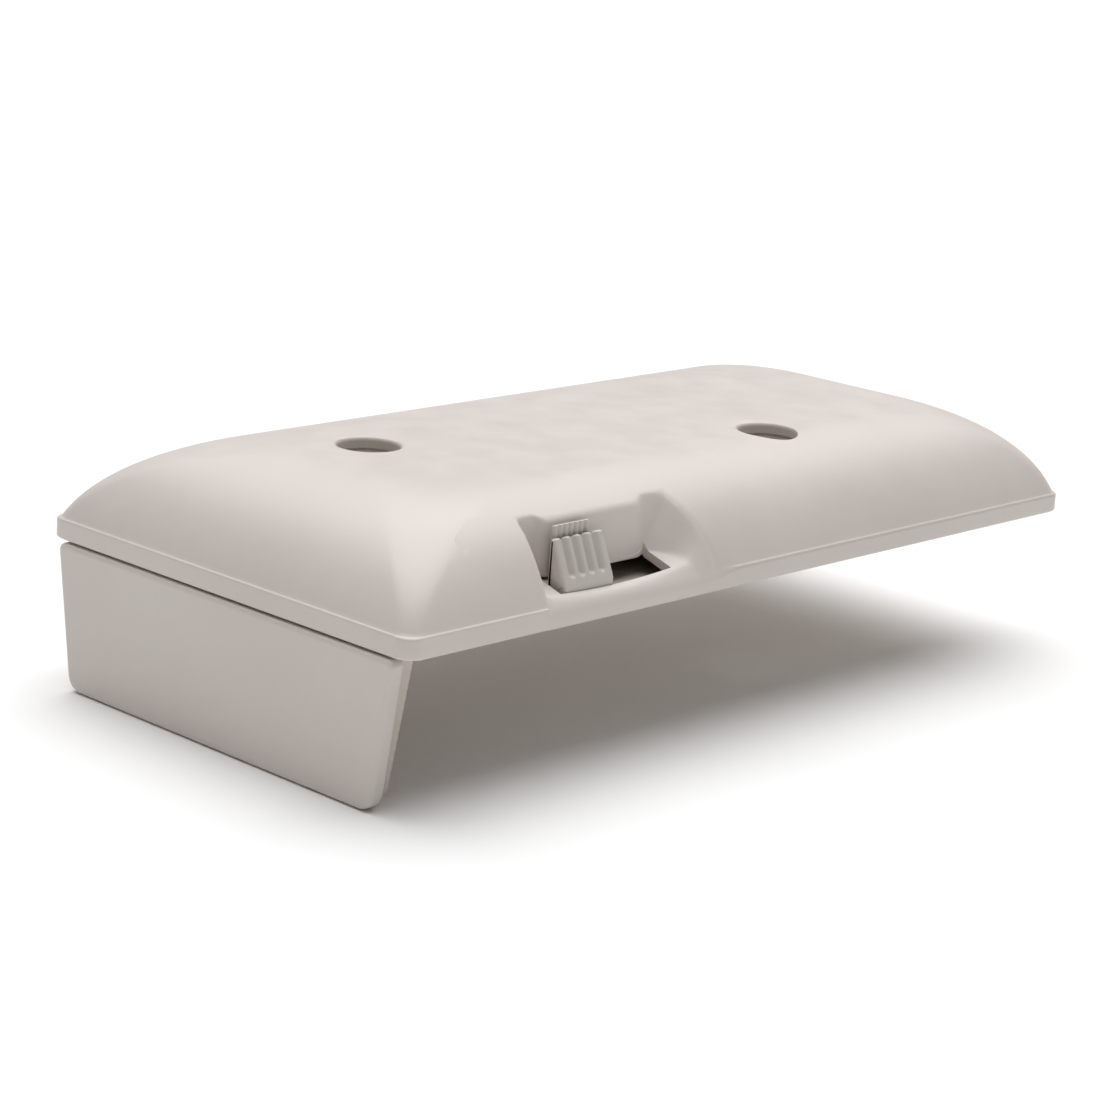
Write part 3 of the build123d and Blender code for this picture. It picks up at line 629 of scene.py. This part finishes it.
# Floor z = lip + slope (y - lipY) + dish ((x - middle) / half)^2, rolling over the lip on an arc
# of lipRadius; the three walls' rises join it as (back^p + left^p + right^p)^(1/p).
def scoopSurface(x, y, lower=0.0):
    dish = scoop["dish"] * ((x - scoop["dishMiddle"]) / scoop["dishHalf"]) ** 2
    tilt = math.atan(scoop["floorSlope"])
    radius = scoop["lipRadius"]
    lipCentreY = -halfWidth + radius
    lipStartY = lipCentreY - radius * math.sin(tilt)
    lipCentreZ = scoop["floorAtLip"] + scoop["floorSlope"] * (lipStartY - scoop["lipY"])
    lipCentreZ = lipCentreZ - radius * math.cos(tilt)
    plane = scoop["floorAtLip"] + scoop["floorSlope"] * (y - scoop["lipY"])
    roll = lipCentreZ + np.sqrt(np.clip(radius ** 2 - (y - lipCentreY) ** 2, 0, None))
    fade = smoothStep((y + halfWidth) / radius)
    floor = np.where(y < lipStartY, roll, plane) + dish * fade - lower
    ear = np.clip(earShare(x), 0, 1)
    steep = scoop["steepness"] + (scoop["earSteepness"] - scoop["steepness"]) * ear
    back = steep * np.clip(y - scoop["backFoot"] - scoop["earDepth"] * ear - lower, 0, None)
    fromLeft = besideLine(x, y, scoop["leftTop"], -1) - lower
    left = scoop["earSteepness"] * np.clip(fromLeft + scoop["leftLead"], 0, None)
    fromRight = besideLine(x, y, scoop["rightTop"], 1) - lower
    zoneStart, zoneRun = scoop["backZone"]
    nearBack = smoothStep((y - scoop["backFoot"] + zoneStart) / zoneRun)
    run = scoop["endRun"] + (scoop["endRunAtBack"] - scoop["endRun"]) * nearBack
    climbed = np.clip(1 + fromRight / run, 0, scoop["mostClimb"])
    crown = crownZ(np.clip(y + halfWidth, scoop["leastInset"], None))
    rise = np.clip(crown - floor, scoop["leastRise"], None)
    right = rise * climbed ** scoop["endPower"]
    power = scoop["blendPower"]
    return floor + (back ** power + left ** power + right ** power) ** (1 / power)


def makeCover():
    roundTurns = np.linspace(0, math.pi / 2, cover["roundSteps"])
    round1, round2 = cover["rimRound"], cover["bandRound"]
    bandTop = cover["rimHeight"] - cover["bandDrop"]
    edge = [(cover["seatInset"], 0.0), (cover["footInset"], 0.0)]
    edge += [(round1 * (1 - math.sin(t)), round1 * (1 - math.cos(t))) for t in roundTurns]
    flatBand = (cover["bandLow"], cover["bandFoot"], cover["bandMiddle"], bandTop - round2)
    edge += [(0.0, height) for height in flatBand]
    lean = round2 * cover["bandLean"]
    bandEdge = [(lean * (1 - math.cos(t)), bandTop - round2 * (1 - math.sin(t)))
                for t in roundTurns[1:]]
    domeStops = [cover["domeStart"], cover["scoopDepth"], cover["crownInset"], lastInset]
    domeInsets = spacing(domeStops, cover["domeSteps"])
    for line in scoop["slotY"]:
        domeInsets[np.argmin(abs(domeInsets - (line + halfWidth)))] = line + halfWidth
    insets = np.concatenate([[p[0] for p in edge + bandEdge], domeInsets])
    heights = np.concatenate([[p[1] for p in edge + bandEdge], crownZ(domeInsets)])
    edgeRows = len(edge)
    x, y = ringGrid(insets)
    lowX, highX = scoop["slotX"]
    frontY, backY = scoop["slotY"]
    onFront = np.zeros(x.shape, bool)
    onFront[:, :len(frontLines)] = True
    small = scoop["onLine"]
    inSlot = onFront & (x > lowX - small) & (x < highX + small)
    inSlot &= (y > frontY - small) & (y < backY + small)
    inSlot[:edgeRows] = False
    z = np.repeat(heights[:, None], x.shape[1], axis=1)
    movedX, movedY = followScoop(x, y)
    follow = onFront & (y < -halfWidth + cover["scoopDepth"])
    x = np.where(follow, movedX, x)
    y = np.where(follow, movedY, y)
    domeRows = edgeRows + len(bandEdge)
    z[domeRows:] = np.where(follow[domeRows:], crownZ(y[domeRows:] + halfWidth), z[domeRows:])
    cutBy = onFront & (y < -halfWidth + cover["scoopDepth"])
    cutBy[:edgeRows] = False
    atRim = scoopSurface(x[:edgeRows], np.full((edgeRows, x.shape[1]), -halfWidth))
    lowered = np.where(onFront[:edgeRows], np.clip(atRim / bandTop, 0, 1), 1)
    top = scoopTop(x, y)
    soft = scoop["edgeSoft"] * np.clip(1 - np.clip(top, 0, None), 0, 1) ** 2 * (z > cover["rimHeight"])
    z = np.where(cutBy, np.minimum(z - soft, scoopSurface(x, y)), z)
    z[:edgeRows] = z[:edgeRows] * lowered

    # the scoop's edges are relaxed: each point near them moves towards its four neighbours' mean
    near = smoothStep(1 - abs(top) / scoop["softReach"]) * cutBy
    near[:domeRows] = 0
    hold = scoop["relaxHold"]
    heldBack = np.clip(1 - (backY - y) / hold, 0, 1) * (z > scoop["windowTop"] + scoop["relaxClear"])
    near = np.where(inSlot, 0, near * np.maximum(heldBack, y < backY - hold))
    surface = np.stack([x, y, z], -1)
    for _ in range(scoop["softRounds"]):
        mean = sum(np.roll(surface, step, axis) for axis in (0, 1) for step in (1, -1)) / 4
        surface = surface + scoop["relax"] * near[..., None] * (mean - surface)

    insideInsets = np.concatenate([[cover["seatInset"]], domeInsets[domeInsets > cover["seatInset"]]])
    xi, yi = ringGrid(insideInsets)
    frontInside = np.zeros(xi.shape, bool)
    frontInside[:, :len(frontLines)] = True
    innerSlot = frontInside & (xi > lowX - small) & (xi < highX + small)
    innerSlot &= (yi > frontY - small) & (yi < backY + small)
    window = frontInside & (xi > lowX - small) & (xi < highX + small) & (yi > backY - small)
    window &= yi < scoop["windowBack"]
    followInside = frontInside & (yi < -halfWidth + cover["scoopDepth"])
    movedX, movedY = followScoop(xi, yi)
    xi, yi = np.where(followInside, movedX, xi), np.where(followInside, movedY, yi)
    insideRise = np.where(followInside, yi + halfWidth, insideInsets[:, None])
    domeInside = np.maximum(crownZ(insideRise, cover["wall"]), cover["seatHeight"])
    behind = frontInside & (yi < -halfWidth + cover["scoopDepth"] + scoop["backCover"])
    pocketInside = scoopSurface(xi, yi, scoop["floorThickness"])
    zi = np.where(behind, np.minimum(domeInside, pocketInside), domeInside)
    zi = np.where(window, np.maximum(zi, scoop["windowTop"]), zi)
    zi[0] = cover["seatHeight"]

    columns = x.shape[1]
    outer = surface.reshape(-1, 3)
    inner = np.stack([xi, yi, zi], -1).reshape(-1, 3)
    rows, innerRows = x.shape[0], xi.shape[0]
    innerStart = len(outer)
    points = np.concatenate([outer, inner])
    held = np.concatenate([inSlot.reshape(-1), innerSlot.reshape(-1)])
    outerQuads = gridFaces(rows, columns)
    innerQuads = gridFaces(innerRows, columns, start=innerStart, flip=True)
    inSlotOuter = held[outerQuads].all(1)
    inSlotInner = held[innerQuads].all(1)
    faces = outerQuads[~inSlotOuter].tolist() + innerQuads[~inSlotInner].tolist()

    # the slot's own walls join outside to inside along the hole's edge
    offset = innerStart - (rows - innerRows) * columns
    cut = outerQuads[inSlotOuter]
    edges = np.concatenate([cut[:, [i, (i + 1) % 4]] for i in range(4)])
    keys = np.sort(edges, 1)
    _, first, count = np.unique(keys, axis=0, return_index=True, return_counts=True)
    rim = edges[first[count == 1]]
    walls = np.stack([rim[:, 0], rim[:, 1], rim[:, 1] + offset, rim[:, 0] + offset], -1)
    faces += walls.tolist()

    # inner foot of the wall, and both middles
    footInner = innerStart + np.arange(columns)
    footOuter = np.arange(columns)
    nextOne = (np.arange(columns) + 1) % columns
    faces += np.stack([footOuter, footInner, footInner[nextOne], footOuter[nextOne]], -1).tolist()
    faces.append(((rows - 1) * columns + np.arange(columns)).tolist())
    faces.append((innerStart + (innerRows - 1) * columns + np.arange(columns))[::-1].tolist())
    return meshPiece("coverSkin", points, faces, coverAbs, cover["sharpAngle"])


coverSkin = makeCover()
print("cover skin:", len(coverSkin.data.polygons), "faces")

# mounting screw recesses: soft-edged cuts in the crown and the columns under them
recess = {
    "spots": ((-42.3, 5.6), (19.4, -19.4)),
    "radius": 4.7,
    "edgeRound": 0.7,
    "columnRadius": 6.2,
    "floor": 5.0,
    "holeRadius": 2.25,
    "foot": 2.2,
    "columnTop": 14.9,
    "sides": 96,
    "roundSteps": 9,
    "cutFrom": 9.0,
    "cutPast": 2.0,
    "floorRound": 0.4,
    "holeRound": 0.3,
    "columnShort": 0.3,
}


# Profile (radius, height) carried round a vertical axis; it closes on itself.
def turnedSolid(name, centre, profile, material):
    profile = np.array(profile, float)
    sides = recess["sides"]
    angle = np.linspace(0, 2 * math.pi, sides, endpoint=False)
    x = centre[0] + profile[:, :1] * np.cos(angle)
    y = centre[1] + profile[:, :1] * np.sin(angle)
    z = np.repeat(profile[:, 1:], sides, axis=1)
    points = np.stack([x, y, z], -1).reshape(-1, 3)
    closed = np.concatenate([np.arange(len(profile)), [0]])
    a = closed[:-1, None] * sides + np.arange(sides)
    b = closed[:-1, None] * sides + (np.arange(sides) + 1) % sides
    c = closed[1:, None] * sides + (np.arange(sides) + 1) % sides
    d = closed[1:, None] * sides + np.arange(sides)
    faces = np.stack([a, b, c, d], -1).reshape(-1, 4).tolist()
    return meshPiece(name, points, faces, material)


# Upright cutter that flares at the crown so that the cut keeps a rounded edge.
def recessCutter(name, centre):
    turn = np.linspace(0, math.pi / 2, recess["roundSteps"])
    edgeR = recess["edgeRound"]
    flare = [(recess["radius"] + edgeR * (1 - math.cos(t)), crownHeight - edgeR + edgeR * math.sin(t))
             for t in turn]
    ring = np.array([(recess["radius"], recess["cutFrom"]), *flare,
                     (recess["radius"] + edgeR, crownHeight + recess["cutPast"])])
    sides = recess["sides"]
    angle = np.linspace(0, 2 * math.pi, sides, endpoint=False)
    x = centre[0] + ring[:, :1] * np.cos(angle)
    y = centre[1] + ring[:, :1] * np.sin(angle)
    z = np.repeat(ring[:, 1:], sides, axis=1)
    points = np.stack([x, y, z], -1).reshape(-1, 3)
    return meshPiece(name, points, ringFaces(len(ring), sides), coverAbs)


for index, spot in enumerate(recess["spots"]):
    cutter = recessCutter(f"recessCutter{index + 1}", spot)
    cut = coverSkin.modifiers.new("recess", "BOOLEAN")
    cut.operation = "DIFFERENCE"
    cut.solver = "EXACT"
    cut.object = cutter
    applied(coverSkin)
    bpy.data.objects.remove(cutter)
    radius, floor, hole = recess["radius"], recess["floor"], recess["holeRadius"]
    column = turnedSolid(f"screwColumn{index + 1}", spot, [
        (radius, recess["columnTop"]),
        (radius, floor + recess["floorRound"]),
        (radius - recess["floorRound"], floor),
        (hole + recess["holeRound"], floor),
        (hole, floor - recess["holeRound"]),
        (hole, recess["foot"]),
        (recess["columnRadius"], recess["foot"]),
        (recess["columnRadius"], recess["columnTop"] - recess["columnShort"]),
    ], coverAbs)
    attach(column, "housing")
coverSkin.data.set_sharp_from_angle(angle=math.radians(cover["sharpAngle"]))
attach(coverSkin, "housing")
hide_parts("cover_shell")
print("recesses cut")


# end panel: rounded, slightly tapered plate
panel = {
    "corner": 2.8,
    "topCorner": 1.1,
    "faceRound": 0.8,
    "faceFlat": 0.15,
    "roundSteps": 8,
    "backRound": 0.3,
    "backShare": 0.3,
    "thickness": 2.35,
    "taper": 3.2,
    "sharpAngle": 50,
}


# Closed plate: an outline in the YZ plane, stepped inwards and along X by each ring (inset, x).
def platePiece(name, outline, rings, material):
    count = len(outline)
    nextPoint = np.roll(outline, -1, 0) - np.roll(outline, 1, 0)
    normal = np.stack([nextPoint[:, 1], -nextPoint[:, 0]], -1)
    normal /= np.linalg.norm(normal, axis=1, keepdims=True)
    if np.sum(normal * (outline - outline.mean(0))) > 0:
        normal = -normal
    layers = []
    for inset, x in rings:
        ringPoints = outline + normal * inset
        layers.append(np.concatenate([np.full((count, 1), x), ringPoints], 1))
    points = np.concatenate(layers)
    return meshPiece(name, points, ringFaces(len(rings), count), material, panel["sharpAngle"])


# Points round a polygon whose corners become arcs of the given radii.
def roundedOutline(corners, radii, steps=10):
    corners = np.array(corners, float)
    out = []
    for i, radius in enumerate(radii):
        here, before, after = corners[i], corners[i - 1], corners[(i + 1) % len(corners)]
        toBefore = (before - here) / np.linalg.norm(before - here)
        toAfter = (after - here) / np.linalg.norm(after - here)
        half = math.acos(np.clip(toBefore @ toAfter, -1, 1)) / 2
        reach = radius / math.tan(half)
        inwards = toBefore + toAfter
        middle = here + inwards / np.linalg.norm(inwards) * radius / math.sin(half)
        start, end = here + toBefore * reach - middle, here + toAfter * reach - middle
        sweep = math.atan2(start[0] * end[1] - start[1] * end[0], start @ end)
        angles = math.atan2(start[1], start[0]) + sweep * np.linspace(0, 1, steps)
        out.append(middle + radius * np.stack([np.cos(angles), np.sin(angles)], -1))
    return np.concatenate(out)


panelLow, panelHigh = cornersInMm("end_panel")
panelOutline = roundedOutline(
    [(panelLow[1], panelHigh[2]), (panelLow[1] + panel["taper"], panelLow[2]),
     (panelHigh[1] - panel["taper"], panelLow[2]), (panelHigh[1], panelHigh[2])],
    [panel["topCorner"], panel["corner"], panel["corner"], panel["topCorner"]])
faceR, backR = panel["faceRound"], panel["backRound"]
panelFront = panelLow[0]
panelBack = panelFront + panel["thickness"]
panelRings = [(faceR + panel["faceFlat"], panelFront)]
panelRings += [(faceR * (1 - math.sin(t)), panelFront + faceR * (1 - math.cos(t)))
               for t in np.linspace(0, math.pi / 2, panel["roundSteps"])]
backStep = backR * panel["backShare"]
panelRings += [(0.0, panelBack - backR), (backStep, panelBack - backStep), (backR, panelBack)]
endPanel = platePiece("endPanelPlate", panelOutline, panelRings, coverAbs)
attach(endPanel, "housing")
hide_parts("end_panel")
print("end panel made")

# thumb slide: wedge with rounded ribs, ribbed blade behind it, tongue below
slide = {
    "left": -43.2,
    "right": -33.0,
    "bottom": 2.5,
    "front": -36.1,
    "baseTop": 4.8,
    "ridgeFront": -33.45,
    "ridgeTop": 11.0,
    "back": -32.8,
    "ridgeRound": 0.3,
    "ribs": 5,
    "grooveDepth": 0.72,
    "grooveSharpness": 1.5,
    "grooveStart": 0.9,
    "grooveFadeIn": 0.8,
    "edgeRound": 0.5,
    "backSpread": 0.05,
    "cornerRounds": (0.1, 0.2, 0.25, 0.1),
    "arcSteps": 7,
    "outlineStep": 0.25,
    "backSkin": 0.02,
    "stations": 161,
    "leastGroove": 0.001,
    "topZone": 0.35,
    "farClip": 30,
    "farPast": 25,
    "sharpAngle": 50,
    "tongueLap": 0.4,
    "tongueBack": -24.0,
    "tongueTop": 4.6,
}


# Side outline carried along X. Between the ribs the slope sinks square to itself by
# grooveDepth (0.5 - 0.5 cos(2 pi ribs x / width))^grooveSharpness, and runs out through the back.
def makeWedge():
    foot, heel, toe, sole = slide["cornerRounds"]
    outline = roundedOutline(
        [(slide["back"], slide["bottom"]), (slide["back"], slide["ridgeTop"]),
         (slide["ridgeFront"], slide["ridgeTop"]), (slide["front"], slide["baseTop"]),
         (slide["front"], slide["bottom"])],
        [foot, heel, slide["ridgeRound"], toe, sole], steps=slide["arcSteps"])
    # more points along the slope, where the grooves run
    closed = np.concatenate([outline, outline[:1]])
    lengths = np.linalg.norm(np.diff(closed, axis=0), axis=1)
    step = slide["outlineStep"]
    pieces = [closed[i] + (closed[i + 1] - closed[i]) * np.linspace(0, 1, max(1, math.ceil(n / step)),
              endpoint=False)[:, None] for i, n in enumerate(lengths)]
    outline = np.concatenate(pieces)
    run = np.roll(outline, -1, 0) - np.roll(outline, 1, 0)
    inward = np.stack([-run[:, 1], run[:, 0]], -1)
    inward /= np.linalg.norm(inward, axis=1, keepdims=True)
    if np.sum(inward * (outline - outline.mean(0))) > 0:
        inward = -inward
    slopeRun = slide["ridgeFront"] - slide["front"]
    slopeRise = slide["ridgeTop"] - slide["baseTop"]
    slopeLength = math.hypot(slopeRun, slopeRise)
    fromToe = outline - np.array([slide["front"], slide["baseTop"]])
    along = (fromToe[:, 0] * slopeRun + fromToe[:, 1] * slopeRise) / slopeLength
    onFront = outline[:, 0] < slide["back"] - slide["backSkin"]
    grooved = smoothStep((along - slide["grooveStart"]) / slide["grooveFadeIn"])
    grooved = grooved * onFront * (outline[:, 1] > slide["baseTop"])
    width = slide["right"] - slide["left"]
    middle = (slide["right"] + slide["left"]) / 2
    stations = np.linspace(-0.5, 0.5, slide["stations"])
    phase = stations * slide["ribs"]
    wave = 0.5 - 0.5 * np.cos(2 * math.pi * phase)
    depth = slide["grooveDepth"] * wave ** slide["grooveSharpness"]
    depth = np.where(abs(phase) > slide["ribs"] / 2 - 0.5, 0, depth)
    fromEnd = width * (0.5 - abs(stations))
    edgeR = slide["edgeRound"]
    ease = edgeR - np.sqrt(np.clip(edgeR ** 2 - np.clip(edgeR - fromEnd, 0, None) ** 2, 0, None))
    slopeInward = np.array([slopeRise, -slopeRun]) / slopeLength
    groove = depth[:, None] * grooved[None, :]
    yz = outline[None] + slopeInward * groove[..., None]
    # a groove runs out through the back face: what would pass that face gathers just inside it
    spread = slide["backSpread"]
    past = (slide["back"] - yz[..., 0]) / spread
    far = slide["farClip"]
    gathered = slide["back"] - spread * np.log1p(np.exp(np.clip(past, -far, far)))
    gathered = np.where(past > slide["farPast"], yz[..., 0], gathered)
    grooved = groove > slide["leastGroove"]
    yz[..., 0] = np.where(grooved, gathered, yz[..., 0])
    lineAtBack = slide["ridgeTop"] + (slide["back"] - slide["ridgeFront"]) * slopeRise / slopeRun
    lineHere = lineAtBack - (slide["back"] - yz[..., 0]) * slopeRise / slopeRun
    lineHere = lineHere - depth[:, None] * slopeLength / slopeRun
    onTop = grooved & (outline[None, :, 1] > slide["ridgeTop"] - slide["topZone"])
    yz[..., 1] = np.where(onTop, np.minimum(yz[..., 1], lineHere), yz[..., 1])
    backTop = np.minimum(slide["ridgeTop"], lineAtBack - depth * slopeLength / slopeRun)
    share = (backTop - slide["bottom"]) / (slide["ridgeTop"] - slide["bottom"])
    squeezed = slide["bottom"] + (outline[:, 1] - slide["bottom"]) * share[:, None]
    yz[..., 1] = np.where(onFront[None], yz[..., 1], squeezed)
    yz = yz + inward[None] * ease[:, None, None]
    x = middle + width * stations[:, None] + 0 * yz[..., 0]
    points = np.concatenate([x[..., None], yz], -1).reshape(-1, 3)
    count = len(outline)
    return meshPiece("slideWedge", points, ringFaces(len(stations), count), slideAbs,
                     slide["sharpAngle"])


wedge = makeWedge()
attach(wedge, "slide")
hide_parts("thumb_slide")

blade = {
    "left": -42.0,
    "right": -34.6,
    "front": -32.3,
    "back": -31.7,
    "bottom": 4.0,
    "top": 12.5,
    "ribs": 7,
    "grooveDepth": 0.32,
    "stations": 127,
    "fullness": 0.6,
    "middleShift": 0.1,
    "pulls": ((0, -0.3), (0.06, -0.1), (0.16, 0)),
    "pullShare": (0.25, 1.6),
    "sharpAngle": 45,
}


# Upright comb: front y = front + grooveDepth (1 - (0.5 - 0.5 cos(2 pi ribs t))^fullness),
# drawn up to a rounded top.
def makeBlade():
    across = np.linspace(0, 1, blade["stations"])
    frontX = blade["left"] + (blade["right"] - blade["left"]) * across
    wave = (0.5 - 0.5 * np.cos(2 * math.pi * across * blade["ribs"])) ** blade["fullness"]
    frontY = blade["front"] + blade["grooveDepth"] * (1 - wave)
    plan = np.concatenate([
        np.stack([frontX, frontY], -1),
        [[blade["right"], blade["back"]], [blade["left"], blade["back"]]],
    ])
    middle = np.array([(blade["left"] + blade["right"]) / 2,
                       (blade["front"] + blade["back"]) / 2 + blade["middleShift"]])
    levels = [(0, blade["bottom"])]
    levels += [(pull, blade["top"] + below) for pull, below in blade["pulls"]]
    alongShare, acrossShare = blade["pullShare"]
    layers = []
    for pull, height in levels:
        ring = plan + (middle - plan) * np.array([pull * alongShare, pull * acrossShare])
        layers.append(np.concatenate([ring, np.full((len(plan), 1), height)], 1))
    points = np.concatenate(layers)
    count = len(plan)
    return meshPiece("slideBlade", points, ringFaces(len(levels), count), slideAbs, blade["sharpAngle"])


comb = makeBlade()
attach(comb, "slide")


# Block between two corners, its edges rounded by a Bevel modifier that is then applied.
def blockPiece(name, low, high, material, bevel=0.2, sharpAngle=50):
    sign = np.array([(i & 1, i >> 1 & 1, i >> 2 & 1) for i in range(8)])
    points = np.where(sign, high, low)
    faces = [(0, 2, 3, 1), (4, 5, 7, 6), (0, 1, 5, 4), (2, 6, 7, 3), (0, 4, 6, 2), (1, 3, 7, 5)]
    piece = meshPiece(name, points, faces, material)
    soften = piece.modifiers.new("edges", "BEVEL")
    soften.width = bevel * mm
    soften.segments = 3
    applied(piece)
    piece.data.set_sharp_from_angle(angle=math.radians(sharpAngle))
    return piece


tongue = blockPiece("slideTongue", (slide["left"], slide["back"] - slide["tongueLap"], slide["bottom"]),
                    (slide["right"], slide["tongueBack"], slide["tongueTop"]), slideAbs)
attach(tongue, "slide")
print("thumb slide made")

# return spring: round wire carried along a helix, its end turns closed up
spring = {
    "radius": 1.9,
    "wire": 0.25,
    "turns": 9.5,
    "closed": 1.0,
    "closedPitch": 2.1,
    "around": 12,
    "stepsPerTurn": 36,
    "pressedShare": 0.48,
    "sharpAngle": 60,
}


# Helix: x runs along with the turns, y = cy + r cos a, z = cz + r sin a, with a round wire on it.
def makeSpring():
    low, high = cornersInMm("return_spring")
    centreY, centreZ = (low[1] + high[1]) / 2, (low[2] + high[2]) / 2
    turn = np.linspace(0, spring["turns"], int(spring["turns"] * spring["stepsPerTurn"]) + 1)
    ends = spring["closed"]
    wire = spring["wire"]
    openTurns = spring["turns"] - 2 * ends
    span = high[0] - low[0] - 2 * wire
    tight = spring["closedPitch"] * wire
    openPitch = (span - 2 * ends * tight) / openTurns
    along = np.where(turn < ends, turn * tight, np.where(
        turn > spring["turns"] - ends, span - (spring["turns"] - turn) * tight,
        ends * tight + (turn - ends) * openPitch))
    angle = 2 * math.pi * turn
    path = np.stack([low[0] + wire + along, centreY + spring["radius"] * np.cos(angle),
                     centreZ + spring["radius"] * np.sin(angle)], -1)
    tangent = np.gradient(path, axis=0)
    tangent /= np.linalg.norm(tangent, axis=1, keepdims=True)
    outwards = np.stack([0 * angle, np.cos(angle), np.sin(angle)], -1)
    across = np.cross(tangent, outwards)
    around = np.linspace(0, 2 * math.pi, spring["around"], endpoint=False)
    ring = outwards[:, None] * np.cos(around)[None, :, None]
    ring = ring + across[:, None] * np.sin(around)[None, :, None]
    points = (path[:, None] + wire * ring).reshape(-1, 3)
    count = spring["around"]
    return meshPiece("returnSpringCoil", points, ringFaces(len(path), count), zincSteel,
                     spring["sharpAngle"])


coil = makeSpring()
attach(coil, "slide")
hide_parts("return_spring")
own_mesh(coil)
print("spring made")


copy = {"weld": 0.002, "flatAngle": 1.0, "edge": 0.25, "edgeAngle": 50, "sharpAngle": 35}


# moulded CAD parts that show: a merged copy with its edges broken as a mould leaves them
def mouldedCopy(name, node, material, body):
    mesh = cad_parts[node].data.copy()
    piece = bpy.data.objects.new(name, mesh)
    bpy.context.scene.collection.objects.link(piece)
    weld = piece.modifiers.new("weld", "WELD")
    weld.merge_threshold = copy["weld"] * mm
    flat = piece.modifiers.new("flat", "DECIMATE")
    flat.decimate_type = "DISSOLVE"
    flat.angle_limit = math.radians(copy["flatAngle"])
    soften = piece.modifiers.new("edges", "BEVEL")
    soften.width = copy["edge"] * mm
    soften.segments = 3
    soften.limit_method = "ANGLE"
    soften.angle_limit = math.radians(copy["edgeAngle"])
    applied(piece)
    piece.data.materials.clear()
    piece.data.materials.append(material)
    piece.data.polygons.foreach_set("use_smooth", np.ones(len(piece.data.polygons), bool))
    piece.data.set_sharp_from_angle(angle=math.radians(copy["sharpAngle"]))
    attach(piece, body)
    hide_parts(node)
    return piece


mouldedCopy("basePlateMoulding", "base_plate", baseAbs, "housing")
print("base plate made")

# floor and soft studio light
studio = {
    "floorGap": 0.05,
    "floorSize": 6.0,
    "worldColour": "#FFFFFF",
    "worldStrength": 0.2,
    "overheadStrength": 3.25,
    "overheadSpread": 75.0,
    "overheadPlace": (0.26, 0.22, 0.95),
    "sidePower": 0.15,
    "sideSize": 0.7,
    "sidePlace": (-0.55, -0.75, 0.45),
    "floorLines": 9,
    "paperRoughness": 0.9,
    "paperToneMm": 60,
}


# Plain pale floor just under the panel's lower edge.
def makeFloor():
    z = cadBox[0][2] / mm - studio["floorGap"]
    half = studio["floorSize"] / mm / 2
    lines = studio["floorLines"]
    steps = np.linspace(-half, half, lines)
    x, y = np.meshgrid(steps, steps, indexing="ij")
    points = np.stack([x, y, 0 * x + z], -1).reshape(-1, 3)
    material, tree, shader, place = startMaterial("matteSweepPaper", studio["paperRoughness"])
    # white sweep paper, barely clouded
    tone = addNode(tree, "ShaderNodeTexNoise",
                   {"Scale": perMetre(studio["paperToneMm"]), "Detail": 2.0}, {"Vector": place})
    tint = addNode(tree, "ShaderNodeValToRGB", {}, {"Fac": tone.outputs["Fac"]})
    tint.color_ramp.elements[0].color = toLinear("#F6F6F6")
    tint.color_ramp.elements[1].color = toLinear("#FBFBFB")
    tree.links.new(tint.outputs["Color"], shader.inputs["Base Color"])
    faces = gridFaces(lines, lines, wrap=False, flip=True).tolist()
    floor = meshPiece("studioFloor", points, faces, material)


# Square area light aimed at the middle of the housing.
def softBox(name, place, size, power):
    data = bpy.data.lights.new(name, "AREA")
    data.shape = "SQUARE"
    data.size = size
    data.energy = power
    light = bpy.data.objects.new(name, data)
    light.location = place
    light.rotation_euler = (-Vector(place)).to_track_quat("-Z", "Y").to_euler()
    bpy.context.scene.collection.objects.link(light)


makeFloor()
overhead = bpy.data.lights.new("overheadDiffuser", "SUN")
overhead.energy = studio["overheadStrength"]
overhead.angle = math.radians(studio["overheadSpread"])
overheadLight = bpy.data.objects.new("overheadDiffuser", overhead)
overheadLight.rotation_euler = (-Vector(studio["overheadPlace"])).to_track_quat("-Z", "Y").to_euler()
bpy.context.scene.collection.objects.link(overheadLight)
softBox("softBoxSide", studio["sidePlace"], studio["sideSize"], studio["sidePower"])
world = bpy.data.worlds.new("studioWorld")
world.use_nodes = True
world.node_tree.nodes["Background"].inputs["Color"].default_value = toLinear(studio["worldColour"])
world.node_tree.nodes["Background"].inputs["Strength"].default_value = studio["worldStrength"]
bpy.context.scene.world = world
bpy.context.scene.view_settings.view_transform = "Standard"
print("studio set")
